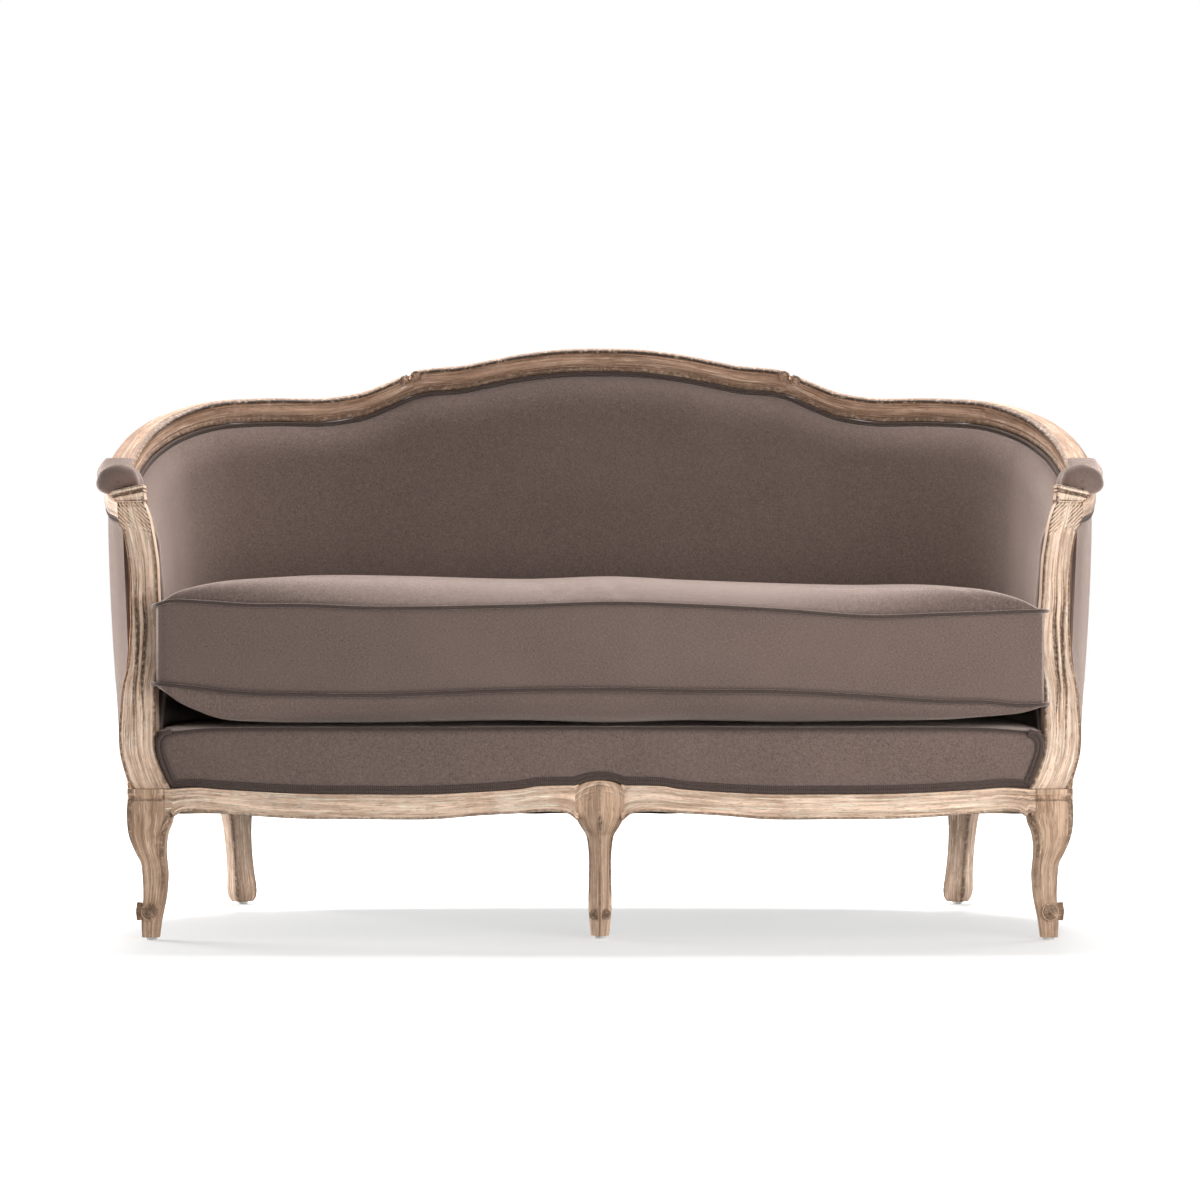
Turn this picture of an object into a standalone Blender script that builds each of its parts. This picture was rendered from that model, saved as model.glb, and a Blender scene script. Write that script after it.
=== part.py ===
"""A two-seat settee: carved oak show-wood frame, barrel-shaped upholstered back and one loose seat cushion.

Metres, +Z up. The seat faces -Y, and the origin is on the floor under the middle of the settee. The arms and the back
are one shell. A place on it is a station along it (0 in the middle of the back, the ends at the arm posts, left
negative), a depth inward from its outer face, and a height.
"""

import bisect
import math

import bmesh
import bpy
from mathutils import Vector

# Overall sizes
HALF_WIDTH = 0.7365
HALF_DEPTH = 0.360
CREST_TOP = 0.878
SHOULDER_TOP = 0.796
ARM_TOP = 0.632

# Clearance between pieces that touch, between pieces that follow the shell, and between soft pieces
FIT = 0.0003
SHELL_FIT = 0.0006
SOFT_FIT = 0.001

# Crest and arm rail: width in plan, and height at the arms and at the crest
RAIL_WIDE = 0.042
ARM_RAIL_TALL = 0.030
CREST_RAIL_TALL = 0.037
OUTER_SCROLL_RADIUS = 0.0065
INNER_SCROLL_RADIUS = 0.0075
SCROLL_SINK_SHARE = 0.35

# Seat frame
SEAT_RAIL_TOP = 0.224
SEAT_RAIL_TALL = 0.044
SEAT_RAIL_THICK = 0.028
SEAT_RAIL_INSET = 0.002
STRETCHER_WIDE = 0.050
STRETCHER_TALL = 0.040
BLOCK_TALL = 0.036
DUST_COVER_THICK = 0.0012

# Serpentine front rail: its lowest top line, its height, how far it waves up and how far each half bows forward
FRONT_RAIL_TOP = 0.210
FRONT_RAIL_TALL = 0.036
FRONT_RAIL_THICK = 0.028
FRONT_WAVE = 0.012
FRONT_BOW = 0.016
FRONT_SET_BACK = 0.024
CENTRE_ARCH_RISE = 0.0196

# Front legs
FRONT_LEG_WIDE = 0.064
CENTRE_LEG_WIDE = 0.072
GLIDE_RADIUS = 0.0085
GLIDE_THICK = 0.004
VOLUTE_RADIUS = 0.011
VOLUTE_PROUD = 0.007
VOLUTE_HEIGHT = 0.041
CENTRE_VOLUTE_RADIUS = 0.0075
CENTRE_VOLUTE_PROUD = 0.004
VOLUTE_NEAR_SHARE = 0.75

# Rear legs
REAR_LEG_WIDE = 0.046
REAR_LEG_DEEP = 0.040
REAR_LEG_KICK = 0.122
STILE_WIDE = 0.026
STILE_TOP_DROP = 0.002

# Arm posts
POST_WIDE = 0.056
POST_DEEP = 0.050
POST_CAP_TOP = 0.648
POST_CAP_PROUD = 0.0025
POST_CAP_TILT_SHARE = 0.27

# Upholstery of the shell
INSIDE_PAD_BACK = 0.033
INSIDE_PAD_LOW = 0.062
INSIDE_PAD_FULL = 0.071
INSIDE_PAD_BOTTOM = 0.236
INSIDE_PAD_EDGE_ROLL = 0.030
INSIDE_PAD_END = 0.047
OUTSIDE_PANEL_INSET = 0.006
OUTSIDE_PANEL_THICK = 0.006
OUTSIDE_PANEL_SWELL = 0.005
LOWER_RAIL_TOP = 0.350
LOWER_RAIL_TALL = 0.040
WELT_WIDE = 0.0096
WELT_THICK = 0.0045

# Deck and its front border
DECK_TOP = 0.305
DECK_THICK = 0.057
DECK_EDGE = 0.006
BORDER_DEEP = 0.016
BORDER_SET_BACK = 0.005
BORDER_SWELL = 0.003
BORDER_ROLL = 0.010
BORDER_WELT_WIDE = 0.0118

# Seat cushion
CUSHION_LOW_SEAM = 0.352
CUSHION_HIGH_SEAM = 0.478
CUSHION_CROWN = 0.518
CUSHION_GAP = 0.006
CUSHION_BELLY = 0.060
CUSHION_POST_GAP = 0.0095
CUSHION_CORNER = 0.040
CUSHION_BOW = 0.010
CUSHION_DRAW = 0.003
PIPING_RADIUS = 0.003
PIPING_SIDES = 5
ZIP_REACH = 0.350
ZIP_WIDE = 0.024
ZIP_THICK = 0.0016

# Elbow pads
ELBOW_PAD_TALL = 0.051
ELBOW_PAD_INSET = 0.003
ELBOW_PAD_END_STATION = 14.25

# Seat springs
SPRING_COUNT = 6
SPRING_WIRE_RADIUS = 0.0018
SPRING_HALF_WIDE = 0.022
SPRING_STEP = 0.042
SPRING_REACH_SHARE = 0.60
FEWEST_SPRING_TURNS = 4

# Crest and arm rail from the arm post to the middle of the back. Each row is a station: shares of HALF_WIDTH and of
# HALF_DEPTH to the outer face, then of the rise from the arm to the shoulder and from the shoulder to the crest
RAIL_SHARES = (
    (0.953, -0.588, 0.000, 0.000),
    (0.983, -0.430, 0.080, 0.000),
    (1.000, -0.250, 0.220, 0.000),
    (0.997, -0.056, 0.427, 0.000),
    (0.974, 0.167, 0.640, 0.000),
    (0.927, 0.384, 0.817, 0.000),
    (0.845, 0.582, 0.951, 0.000),
    (0.727, 0.744, 1.000, 0.000),
    (0.611, 0.851, 1.000, 0.012),
    (0.526, 0.905, 1.000, 0.122),
    (0.460, 0.937, 1.000, 0.341),
    (0.407, 0.955, 1.000, 0.537),
    (0.367, 0.964, 1.000, 0.610),
    (0.300, 0.977, 1.000, 0.665),
    (0.236, 0.986, 1.000, 0.780),
    (0.171, 0.993, 1.000, 0.890),
    (0.086, 0.998, 1.000, 0.980),
    (0.000, 1.000, 1.000, 1.000),
)
# The foot of the shell, on the seat rails, at the same stations: shares of HALF_WIDTH and of HALF_DEPTH
BASE_SHARES = (
    (0.937, -0.789),
    (0.951, -0.575),
    (0.959, -0.350),
    (0.958, -0.130),
    (0.940, 0.083),
    (0.902, 0.283),
    (0.831, 0.472),
    (0.720, 0.631),
    (0.607, 0.728),
    (0.523, 0.768),
    (0.458, 0.789),
    (0.406, 0.803),
    (0.366, 0.811),
    (0.300, 0.821),
    (0.236, 0.828),
    (0.171, 0.831),
    (0.086, 0.833),
    (0.000, 0.834),
)
ARM_END = len(RAIL_SHARES) - 1
# The shell is flat between these stations, so that all its pieces share the same facets
WIDE_FACETS = 9
FACETS = tuple(range(WIDE_FACETS)) + tuple(WIDE_FACETS + step / 2 for step in range(2 * (ARM_END - WIDE_FACETS) + 1))
KNUCKLE_STATION = 6.0
CORNER_STATION = 11.0
REAR_LEG_STATION = 10.55
REAR_BLOCK_STATIONS = (1.75, 1.15, -1.15, -1.75)
FRONT_BLOCK_STATIONS = (15.9, 16.4)
FRONT_BLOCK_SHARES = (0.95, 0.88)

# Section of the rail, from the outer foot round to the inner foot: shares of RAIL_WIDE inward from the outer face and
# of the rail's height down from its top. The face towards the seat has a roll, a cove and a bead
RAIL_SECTION_SHARES = (
    (0.00, 1.00),
    (0.00, 0.26),
    (0.10, 0.08),
    (0.34, 0.00),
    (0.72, 0.00),
    (0.92, 0.06),
    (1.00, 0.16),
    (0.97, 0.26),
    (0.88, 0.34),
    (0.84, 0.54),
    (0.90, 0.70),
    (0.98, 0.76),
    (1.00, 0.86),
    (0.93, 1.00),
    (0.79, 1.00),
    (0.29, 1.00),
)
RAIL_TOP_POINTS = (3, 4)
KNUCKLE_STEP_SHARES = (0.12, 0.5, 1.0, 1.5, 1.9)

# The front rail and the border on it are straight between these shares of HALF_WIDTH
FRONT_FACET_SHARES = (
    0.0, 0.010, 0.022, 0.035, 0.045, 0.057, 0.088, 0.121, 0.156, 0.195, 0.236, 0.280, 0.325, 0.385, 0.444,
    0.510, 0.583, 0.650, 0.724, 0.785, 0.818, 0.834, 0.900,
)
# Front rail lines from the centre leg to the corner leg: share of HALF_WIDTH, share of FRONT_WAVE
FRONT_TOP_SHARES = (
    (0.045, 0.95),
    (0.057, 1.00),
    (0.121, 0.92),
    (0.156, 0.58),
    (0.236, 0.25),
    (0.325, 0.00),
    (0.444, 0.00),
    (0.583, 0.08),
    (0.724, 0.50),
    (0.785, 0.75),
    (0.834, 0.58),
)
FRONT_FOOT_SHARES = (
    (0.045, -0.20),
    (0.060, 0.55),
    (0.088, 0.83),
    (0.121, 0.83),
    (0.156, 0.67),
    (0.236, 0.42),
    (0.325, 0.00),
    (0.444, 0.00),
    (0.583, 0.08),
    (0.699, 0.50),
    (0.748, 0.75),
    (0.797, 0.92),
    (0.818, 0.60),
    (0.834, -0.20),
)
# Section of the front rail: shares of its thickness back from its face, and of its height down from its top
FRONT_SECTION_SHARES = (
    (1.00, 0.00),
    (1.00, 1.00),
    (0.16, 1.00),
    (0.04, 0.96),
    (0.02, 0.86),
    (0.10, 0.80),
    (0.15, 0.55),
    (0.12, 0.30),
    (0.00, 0.22),
    (0.00, 0.08),
    (0.10, 0.00),
)

# Arm post from its foot to its cap: share of its height, its middle as a share of HALF_WIDTH, shares of POST_WIDE and
# of POST_DEEP
POST_SHARES = (
    (0.000, 0.870, 1.00, 1.00),
    (0.030, 0.879, 1.00, 1.02),
    (0.070, 0.888, 0.98, 1.03),
    (0.125, 0.897, 0.95, 1.04),
    (0.209, 0.899, 0.95, 1.04),
    (0.328, 0.896, 0.82, 0.96),
    (0.414, 0.887, 0.73, 0.88),
    (0.508, 0.882, 0.66, 0.82),
    (0.634, 0.891, 0.68, 0.80),
    (0.753, 0.898, 0.73, 0.80),
    (0.846, 0.908, 0.75, 0.82),
    (0.895, 0.916, 0.80, 0.86),
    (0.950, 0.923, 0.71, 0.90),
)
# The post's cap above the last row: share of the height left, share of POST_CAP_PROUD
POST_CAP_SHARES = ((0.2, 1.0), (0.5, 1.0), (0.6, 2.0), (0.92, 2.0), (1.0, 1.4))
# Section of the post: shares of its width from its middle, outer side positive, and of its depth back from its face.
# Two beads run down the middle of the face
POST_SECTION_SHARES = (
    (0.50, 1.00),
    (0.50, 0.24),
    (0.44, 0.08),
    (0.32, 0.04),
    (0.17, 0.07),
    (0.13, 0.00),
    (0.04, 0.00),
    (0.00, 0.07),
    (-0.04, 0.00),
    (-0.13, 0.00),
    (-0.17, 0.07),
    (-0.32, 0.04),
    (-0.44, 0.08),
    (-0.50, 0.24),
    (-0.50, 1.00),
)

# Corner leg from its top down to its toe: share of its height, then shares of FRONT_LEG_WIDE for its width and for how
# far its inner faces have moved outward from the block's
LEG_SHARES = (
    (1.000, 1.000, 0.000),
    (0.920, 1.015, 0.000),
    (0.850, 1.030, 0.000),
    (0.780, 1.008, 0.016),
    (0.710, 0.898, 0.102),
    (0.640, 0.790, 0.148),
    (0.570, 0.680, 0.164),
    (0.500, 0.591, 0.152),
    (0.420, 0.578, 0.133),
    (0.330, 0.547, 0.148),
    (0.250, 0.516, 0.180),
    (0.190, 0.500, 0.219),
    (0.110, 0.453, 0.273),
    (0.040, 0.414, 0.305),
    (0.000, 0.391, 0.320),
)
# Centre leg: share of its height, share of CENTRE_LEG_WIDE, and how far its middle has moved back, as a share of it
CENTRE_LEG_SHARES = (
    (1.000, 0.160, 0.000),
    (0.990, 0.500, 0.000),
    (0.965, 0.780, 0.000),
    (0.930, 0.920, 0.000),
    (0.870, 0.950, 0.000),
    (0.780, 0.900, 0.000),
    (0.700, 0.680, 0.060),
    (0.640, 0.545, 0.150),
    (0.520, 0.455, 0.240),
    (0.400, 0.450, 0.270),
    (0.320, 0.460, 0.250),
    (0.210, 0.470, 0.190),
    (0.100, 0.430, 0.190),
    (0.000, 0.361, 0.200),
)
CENTRE_LEG_FULL_SHARE = max(row[1] for row in CENTRE_LEG_SHARES)
# Section of a front leg, shares of half its width along two faces that meet in the arris
LEG_SECTION_SHARES = (
    (1.00, 0.86),
    (0.86, 1.00),
    (0.25, 1.00),
    (-0.45, 0.96),
    (-0.84, 0.78),
    (-0.96, 0.30),
    (-0.93, -0.35),
    (-0.70, -0.70),
    (-0.35, -0.93),
    (0.30, -0.96),
    (0.78, -0.84),
    (0.96, -0.45),
    (1.00, 0.25),
)
LEG_SECTION_SPREAD = 1.145
LEG_SECTION_ARRIS = 1.315
LEG_SECTION_BACK = 0.990
# A volute on a leg's face: share of how far it stands proud, share of its radius
VOLUTE_SHARES = ((0.7, 1.0), (0.85, 0.85), (0.85, 0.45), (1.0, 0.4))
VOLUTE_SIDES = 12

# Rear leg from the floor up: share of the height to the seat rail, share of its kick, share of its width
REAR_LEG_SHARES = (
    (0.000, 1.00, 0.62),
    (0.030, 1.00, 0.78),
    (0.090, 0.93, 0.86),
    (0.200, 0.78, 0.80),
    (0.340, 0.56, 0.76),
    (0.480, 0.35, 0.78),
    (0.620, 0.16, 0.86),
    (0.700, 0.05, 0.95),
    (0.780, 0.00, 1.00),
    (1.000, 0.00, 1.00),
)
ROUNDED_SQUARE_SHARES = (
    (1.0, 0.7),
    (0.7, 1.0),
    (-0.7, 1.0),
    (-1.0, 0.7),
    (-1.0, -0.7),
    (-0.7, -1.0),
    (0.7, -1.0),
    (1.0, -0.7),
)

# Side and rear seat rails in section, from the foot of the outer face: shares of their thickness inward and of their
# height. The lower rails of the back and arms are plain
SEAT_RAIL_SECTION_SHARES = (
    (0.09, 0.00),
    (0.00, 0.08),
    (0.02, 0.18),
    (0.11, 0.23),
    (0.06, 0.77),
    (0.00, 0.86),
    (0.03, 1.00),
    (1.00, 1.00),
    (1.00, 0.00),
)
PLAIN_SECTION_SHARES = ((0.0, 0.0), (0.0, 1.0), (1.0, 1.0), (1.0, 0.0))

# Double welt in section: shares of its width from its middle and of its thickness out from what it is glued to
WELT_SECTION_SHARES = (
    (-0.50, 0.00),
    (-0.34, 1.00),
    (0.00, 0.50),
    (0.34, 1.00),
    (0.50, 0.00),
)

# Inside pad: share of the way up from the deck to the rail, share of its swell
INSIDE_SWELL_SHARES = ((0.00, 0.0), (0.16, 0.75), (0.35, 1.0), (0.60, 0.95), (0.80, 0.55), (1.00, 0.30))
INSIDE_FACE_SHARES = (0.985, 0.95, 0.88, 0.78, 0.60, 0.35, 0.16, 0.0)
PAD_SHOULDER_SHARE = 0.88
END_ROLL_SHARES = (1.0, 0.5, 0.15)
OUTSIDE_SWELL_SHARES = ((0.12, 0.7), (0.5, 1.0), (0.85, 0.7))

# Elbow pad in section, shares of its width and its height. It hangs over the rail's outer side
ELBOW_SECTION_SHARES = (
    (0.03, 0.00),
    (-0.48, 0.18),
    (-0.55, 0.45),
    (-0.32, 0.81),
    (0.30, 1.00),
    (0.90, 0.85),
    (1.13, 0.50),
    (1.12, 0.22),
    (1.00, 0.00),
)

# Elbow pad from its nose to its end: share of its length, share of its height, share of its section's width
ELBOW_TALL_SHARES = (
    (0.00, 0.50, 0.72),
    (0.03, 0.76, 0.87),
    (0.08, 0.92, 0.97),
    (0.16, 1.00, 1.00),
    (0.36, 0.80, 1.00),
    (0.55, 0.58, 0.94),
    (0.73, 0.36, 0.84),
    (0.88, 0.17, 0.74),
    (1.00, 0.05, 0.66),
)
ELBOW_REBATE_SHARE = 0.45
ELBOW_WELT_SHARES = (0.03, 0.60)
# Deck border in section: shares of its depth back from its face, of its height, and of its swell
BORDER_SECTION_SHARES = (
    (1.00, 0.00, 0.0),
    (0.00, 0.00, 0.0),
    (0.00, 0.18, 0.0),
    (0.00, 0.34, 0.8),
    (0.00, 0.62, 1.0),
    (0.08, 0.88, 0.8),
    (0.42, 1.00, 0.0),
    (1.00, 0.96, 0.0),
)
BORDER_END_POWER = 12
BORDER_WELT_STEPS = 7
# The shell's height, as a share of the way from the deck to the crest, at which the cushion's outline is taken
CUSHION_WAIST_SHARE = 0.18
CUSHION_SIDE_STATION = 16.6
CUSHION_CORNER_STEPS = 4
CUSHION_POST_LEVELS = 15
CUSHION_FRONT_SHARES = (-0.78, -0.50, -0.25, 0.0, 0.25, 0.50, 0.78)
# Cushion: its underside (shares of CUSHION_BELLY and of the height to the low seam), its side between the seams (share
# of the height, share of CUSHION_DRAW) and its top (share of half its depth, share of the crown)
CUSHION_FOOT_SHARES = ((1.0, 0.0), (0.35, 0.20), (0.16, 0.60))
CUSHION_SIDE_SHARES = ((0.0, 0.0), (0.3, 1.0), (0.7, 1.0), (1.0, 0.0))
CUSHION_TOP_SHARES = ((0.08, 0.42), (0.22, 0.74), (0.45, 0.94), (0.72, 1.00))

GLIDE_SIDES = 12
GLIDE_FOOT_SHARE = 0.8
SMALL_TURN = 1e-3
LOOKS = {
    "oak": ((0.42, 0.29, 0.20), 0.75, 0.0),
    "frame_wood": ((0.55, 0.42, 0.28), 0.8, 0.0),
    "linen": ((0.17, 0.12, 0.105), 0.95, 0.0),
    "dust_cloth": ((0.03, 0.03, 0.03), 0.95, 0.0),
    "steel": ((0.35, 0.35, 0.37), 0.4, 1.0),
    "nylon": ((0.85, 0.84, 0.80), 0.5, 0.0),
}


def clear_scene():
    for item in list(bpy.data.objects):
        bpy.data.objects.remove(item, do_unlink=True)


def look(name):
    """The material of this name, made at its first use."""
    made = bpy.data.materials.get(name)
    if made is None:
        colour, roughness, metallic = LOOKS[name]
        made = bpy.data.materials.new(name)
        made.use_nodes = True
        shader = made.node_tree.nodes["Principled BSDF"]
        shader.inputs["Base Color"].default_value = (*colour, 1.0)
        shader.inputs["Roughness"].default_value = roughness
        shader.inputs["Metallic"].default_value = metallic
    return made


def solid(name, mesh, look_name):
    """An object made of a bmesh, with smooth faces between its sharp edges."""
    bmesh.ops.recalc_face_normals(mesh, faces=mesh.faces)
    data = bpy.data.meshes.new(name)
    mesh.to_mesh(data)
    mesh.free()
    data.shade_smooth()
    data.set_sharp_from_angle(angle=math.radians(35))
    data.materials.append(look(look_name))
    item = bpy.data.objects.new(name, data)
    bpy.context.scene.collection.objects.link(item)
    return item


def loft(name, rings, look_name, is_loop=False):
    """A closed body through rings that have the same number of points, with flat ends unless it is a loop."""
    mesh = bmesh.new()
    rows = [[mesh.verts.new(point) for point in ring] for ring in rings]
    pairs = list(zip(rows, rows[1:]))
    if is_loop:
        pairs.append((rows[-1], rows[0]))
    else:
        mesh.faces.new(rows[0])
        mesh.faces.new(rows[-1])
    count = len(rows[0])
    for ring, following in pairs:
        for corner in range(count):
            beside = (corner + 1) % count
            mesh.faces.new((ring[corner], ring[beside], following[beside], following[corner]))
    return solid(name, mesh, look_name)


def prism(name, outline, low, high, look_name):
    """A plan outline carried from one height to another."""
    rings = [[Vector((point.x, point.y, height)) for point in outline] for height in (low, high)]
    return loft(name, rings, look_name)


def steps(start, end, count):
    """This many values from start to end, both among them."""
    return [start + (end - start) * index / (count - 1) for index in range(count)]


def mixed(rows, key):
    """A table's row at any value of its first column, straight between rows."""
    if key <= rows[0][0]:
        return rows[0][1:]
    for low, high in zip(rows, rows[1:]):
        if key <= high[0]:
            share = (key - low[0]) / (high[0] - low[0])
            return tuple(a + (b - a) * share for a, b in zip(low[1:], high[1:]))
    return rows[-1][1:]


def smooth_row(rows, station):
    """A table's row at any station, on one smooth curve that starts straight back and is mirrored at the middle."""
    first, second = rows[0], rows[1]
    before = (second[0],) + tuple(2 * a - b for a, b in zip(first[1:], second[1:]))
    beyond = (-rows[-2][0],) + tuple(rows[-2][1:])
    padded = (before,) + rows + (beyond,)
    index = max(0, min(int(station), len(rows) - 2))
    part = station - index
    a, b, c, d = padded[index : index + 4]
    return [
        0.5 * (2 * q + (r - p) * part + (2 * p - 5 * q + 4 * r - s) * part**2 + (3 * q - p - 3 * r + s) * part**3)
        for p, q, r, s in zip(a, b, c, d)
    ]


def straight_between(knots, read, key):
    """What read gives at this key, straight between its values at the knots on either side."""
    side, away = (-1 if key < 0 else 1), abs(key)
    index = min(bisect.bisect_right(knots, away), len(knots) - 1)
    low, high = knots[index - 1], knots[index]
    start = read(side * low)
    if away == low:
        return start
    return start + (read(side * high) - start) * ((away - low) / (high - low))


def smooth_edge(rows, station):
    """The shell's outer face in plan, at its foot or at its rail."""
    side = -1 if station < 0 else 1
    row = smooth_row(rows, ARM_END - abs(station))
    return Vector((side * row[0] * HALF_WIDTH, row[1] * HALF_DEPTH))


def plan_normal(rows, station):
    """The outward direction in plan. At the arm posts the shell ends square to the sides."""
    if abs(station) >= ARM_END:
        return Vector((math.copysign(1, station), 0))
    run = smooth_edge(rows, station + SMALL_TURN) - smooth_edge(rows, station - SMALL_TURN)
    return Vector((-run.y, run.x)).normalized()


def plan_point(rows, station, inward):
    """A point of the shell in plan, this deep in from the outer face at its foot or at its rail."""

    def read(place):
        return smooth_edge(rows, place) - plan_normal(rows, place) * inward

    return straight_between(FACETS, read, station)


def smooth_top(station):
    row = smooth_row(RAIL_SHARES, ARM_END - abs(station))
    return ARM_TOP + (SHOULDER_TOP - ARM_TOP) * row[2] + (CREST_TOP - SHOULDER_TOP) * row[3]


def smooth_tall(station):
    rise = smooth_row(RAIL_SHARES, ARM_END - abs(station))[2]
    return ARM_RAIL_TALL + (CREST_RAIL_TALL - ARM_RAIL_TALL) * rise


def rail_top(station):
    return straight_between(FACETS, smooth_top, station)


def rail_tall(station):
    return straight_between(FACETS, smooth_tall, station)


def rail_foot(station):
    return rail_top(station) - rail_tall(station)


def on_shell(station, inward, height):
    """A point of the shell. It leans straight out from its foot on the seat rails to its rail's foot."""
    share = (height - SEAT_RAIL_TOP) / (rail_foot(station) - SEAT_RAIL_TOP)
    share = max(0.0, min(1.0, share))
    low, high = plan_point(BASE_SHARES, station, inward), plan_point(RAIL_SHARES, station, inward)
    return low.lerp(high, share).to_3d() + Vector((0, 0, height))


def shell_out(station, height):
    """The outward direction of the shell at a place."""
    return (on_shell(station, 0, height) - on_shell(station, RAIL_WIDE, height)).normalized()


def station_length(station, rows=BASE_SHARES):
    """Metres to a station, along the shell."""
    run = smooth_edge(rows, station + SMALL_TURN) - smooth_edge(rows, station - SMALL_TURN)
    return run.length / (2 * SMALL_TURN)


def station_at(half_way):
    """The right-hand station at which the shell's foot is this far from the middle."""
    low, high = 0.0, ARM_END - 3.0
    for _ in range(40):
        middle = (low + high) / 2
        if plan_point(BASE_SHARES, middle, 0).x < half_way:
            low = middle
        else:
            high = middle
    return low


def shell_stations(start, end):
    """The stations from one to another at which a piece of the shell turns, with its two ends."""
    turns = sorted({-facet for facet in FACETS} | set(FACETS))
    near = SMALL_TURN * 10
    return [start] + [turn for turn in turns if start + near < turn < end - near] + [end]


def mirrored(stations):
    return [-station for station in stations[::-1]]


def side_stations(side, start, end):
    """Stations of a piece on one side, from left to right."""
    stations = shell_stations(start, end)
    return stations if side > 0 else mirrored(stations)


def shell_sweep(name, stations, section, look_name):
    """A body along the shell, whose section gives inward and height pairs at each station."""
    rings = [[on_shell(station, inward, height) for inward, height in section(station)] for station in stations]
    return loft(name, rings, look_name)


def welt_points(face, top, out, wide=WELT_WIDE):
    """Double welt in section, with its top at a height and its back on a face. out is its direction from the face."""
    return [(face + out * thick * WELT_THICK, top - (0.5 - share) * wide) for share, thick in WELT_SECTION_SHARES]


def tube_loop(name, centres, radius, sides, look_name):
    """A round tube round a level closed loop."""
    rings = []
    for index, centre in enumerate(centres):
        run = (centres[(index + 1) % len(centres)] - centres[index - 1]).normalized()
        across = run.cross(Vector((0, 0, 1))).normalized()
        ring = []
        for side in range(sides):
            angle = math.tau * side / sides
            ring.append(centre + across * math.cos(angle) * radius + Vector((0, 0, math.sin(angle) * radius)))
        rings.append(ring)
    return loft(name, rings, look_name, is_loop=True)


# Crest and arm rail


def knuckle_scrolls(station):
    """How far the knuckle's two small rolls stand above the rail here. The notch between them is the joint."""
    centre = plan_point(RAIL_SHARES, KNUCKLE_STATION, 0).x
    here = abs(plan_point(RAIL_SHARES, station, 0).x)
    for radius, side in ((INNER_SCROLL_RADIUS, -1), (OUTER_SCROLL_RADIUS, 1)):
        away = abs(here - centre - side * radius)
        if away < radius:
            return math.sqrt(radius**2 - away**2) * (1 - SCROLL_SINK_SHARE)
    return 0.0


def rail_section(station):
    top, tall = rail_top(station), rail_tall(station)
    points = []
    for index, (inward, down) in enumerate(RAIL_SECTION_SHARES):
        rise = knuckle_scrolls(station) if index in RAIL_TOP_POINTS else 0.0
        points.append((inward * RAIL_WIDE, top - down * tall + rise))
    return points


def knuckle_stations(radius, side):
    """Stations across one roll, from the joint outwards."""
    across = radius / station_length(KNUCKLE_STATION, RAIL_SHARES)
    return [KNUCKLE_STATION + side * across * share for share in KNUCKLE_STEP_SHARES]


def rails():
    half_fit = FIT / station_length(KNUCKLE_STATION, RAIL_SHARES)
    inner = knuckle_stations(INNER_SCROLL_RADIUS, -1)
    outer = knuckle_stations(OUTER_SCROLL_RADIUS, 1)
    half = shell_stations(0.0, inner[-1])[:-1] + inner[::-1] + [KNUCKLE_STATION - half_fit]
    shell_sweep("crest_rail_center", mirrored(half) + half[1:], rail_section, "oak")
    half_fit = FIT / station_length(CORNER_STATION, RAIL_SHARES)
    shoulder = [KNUCKLE_STATION + half_fit] + outer + shell_stations(outer[-1], CORNER_STATION - half_fit)[1:]
    arm = shell_stations(CORNER_STATION + half_fit, ARM_END)
    for side, word in ((-1, "left"), (1, "right")):
        shell_sweep(f"crest_rail_{word}", [side * place for place in shoulder], rail_section, "oak")
        shell_sweep(f"arm_rail_{word}", [side * place for place in arm], rail_section, "oak")


# Arm posts


def post_foot():
    return FRONT_RAIL_TOP + FRONT_WAVE * FRONT_TOP_SHARES[-1][1] + FIT


def post_row(height):
    """The post's middle, width and depth at a height."""
    share = (height - post_foot()) / (POST_CAP_TOP - post_foot())
    middle, wide, deep = mixed(POST_SHARES, share)
    return middle * HALF_WIDTH, wide * POST_WIDE, deep * POST_DEEP


def post_inner(height):
    middle, wide, _ = post_row(height)
    return middle - wide / 2


def post_back(height):
    return on_shell(ARM_END, 0, height).y - FIT


def post_ring(height, side, proud=0.0, tilt=0.0):
    middle, wide, deep = post_row(height)
    ring = []
    for across, back in POST_SECTION_SHARES:
        x = middle + across * (wide + 2 * proud)
        y = post_back(height) - (1 - back) * (deep + proud)
        ring.append(Vector((side * x, y, height - tilt * (x - middle))))
    return ring


def arm_posts():
    tall = POST_CAP_TOP - post_foot()
    cap = POST_SHARES[-1][0]
    for side, word in ((-1, "left"), (1, "right")):
        rings = [post_ring(post_foot() + row[0] * tall, side) for row in POST_SHARES]
        rings[-1] = post_ring(post_foot() + cap * tall, side, 0.0, POST_CAP_TILT_SHARE / 2)
        for share, proud in POST_CAP_SHARES:
            height = post_foot() + (cap + (1 - cap) * share) * tall
            rings.append(post_ring(height, side, proud * POST_CAP_PROUD, POST_CAP_TILT_SHARE))
        loft(f"arm_post_{word}", rings, "oak")


# Front legs and front rail


def leg_ring(centre, first, second, half):
    return [centre + (first * p + second * q) * half for p, q in LEG_SECTION_SHARES]


def volute(name, centre, axis, radius, proud, into):
    """A round boss that stands out of a leg's face, with a smaller one on it."""
    axis = axis.normalized()
    up = Vector((0, 0, 1))
    across = axis.cross(up)
    rings = []
    for reach, share in [(-into, 1.0)] + [(proud * out, share) for out, share in VOLUTE_SHARES]:
        ring = []
        for side in range(VOLUTE_SIDES):
            angle = math.tau * side / VOLUTE_SIDES
            ring.append(centre + axis * reach + (across * math.cos(angle) + up * math.sin(angle)) * radius * share)
        rings.append(ring)
    boss = loft(name, rings, "oak")
    boss.hide_render = True
    boss.display_type = "WIRE"
    return boss


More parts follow.
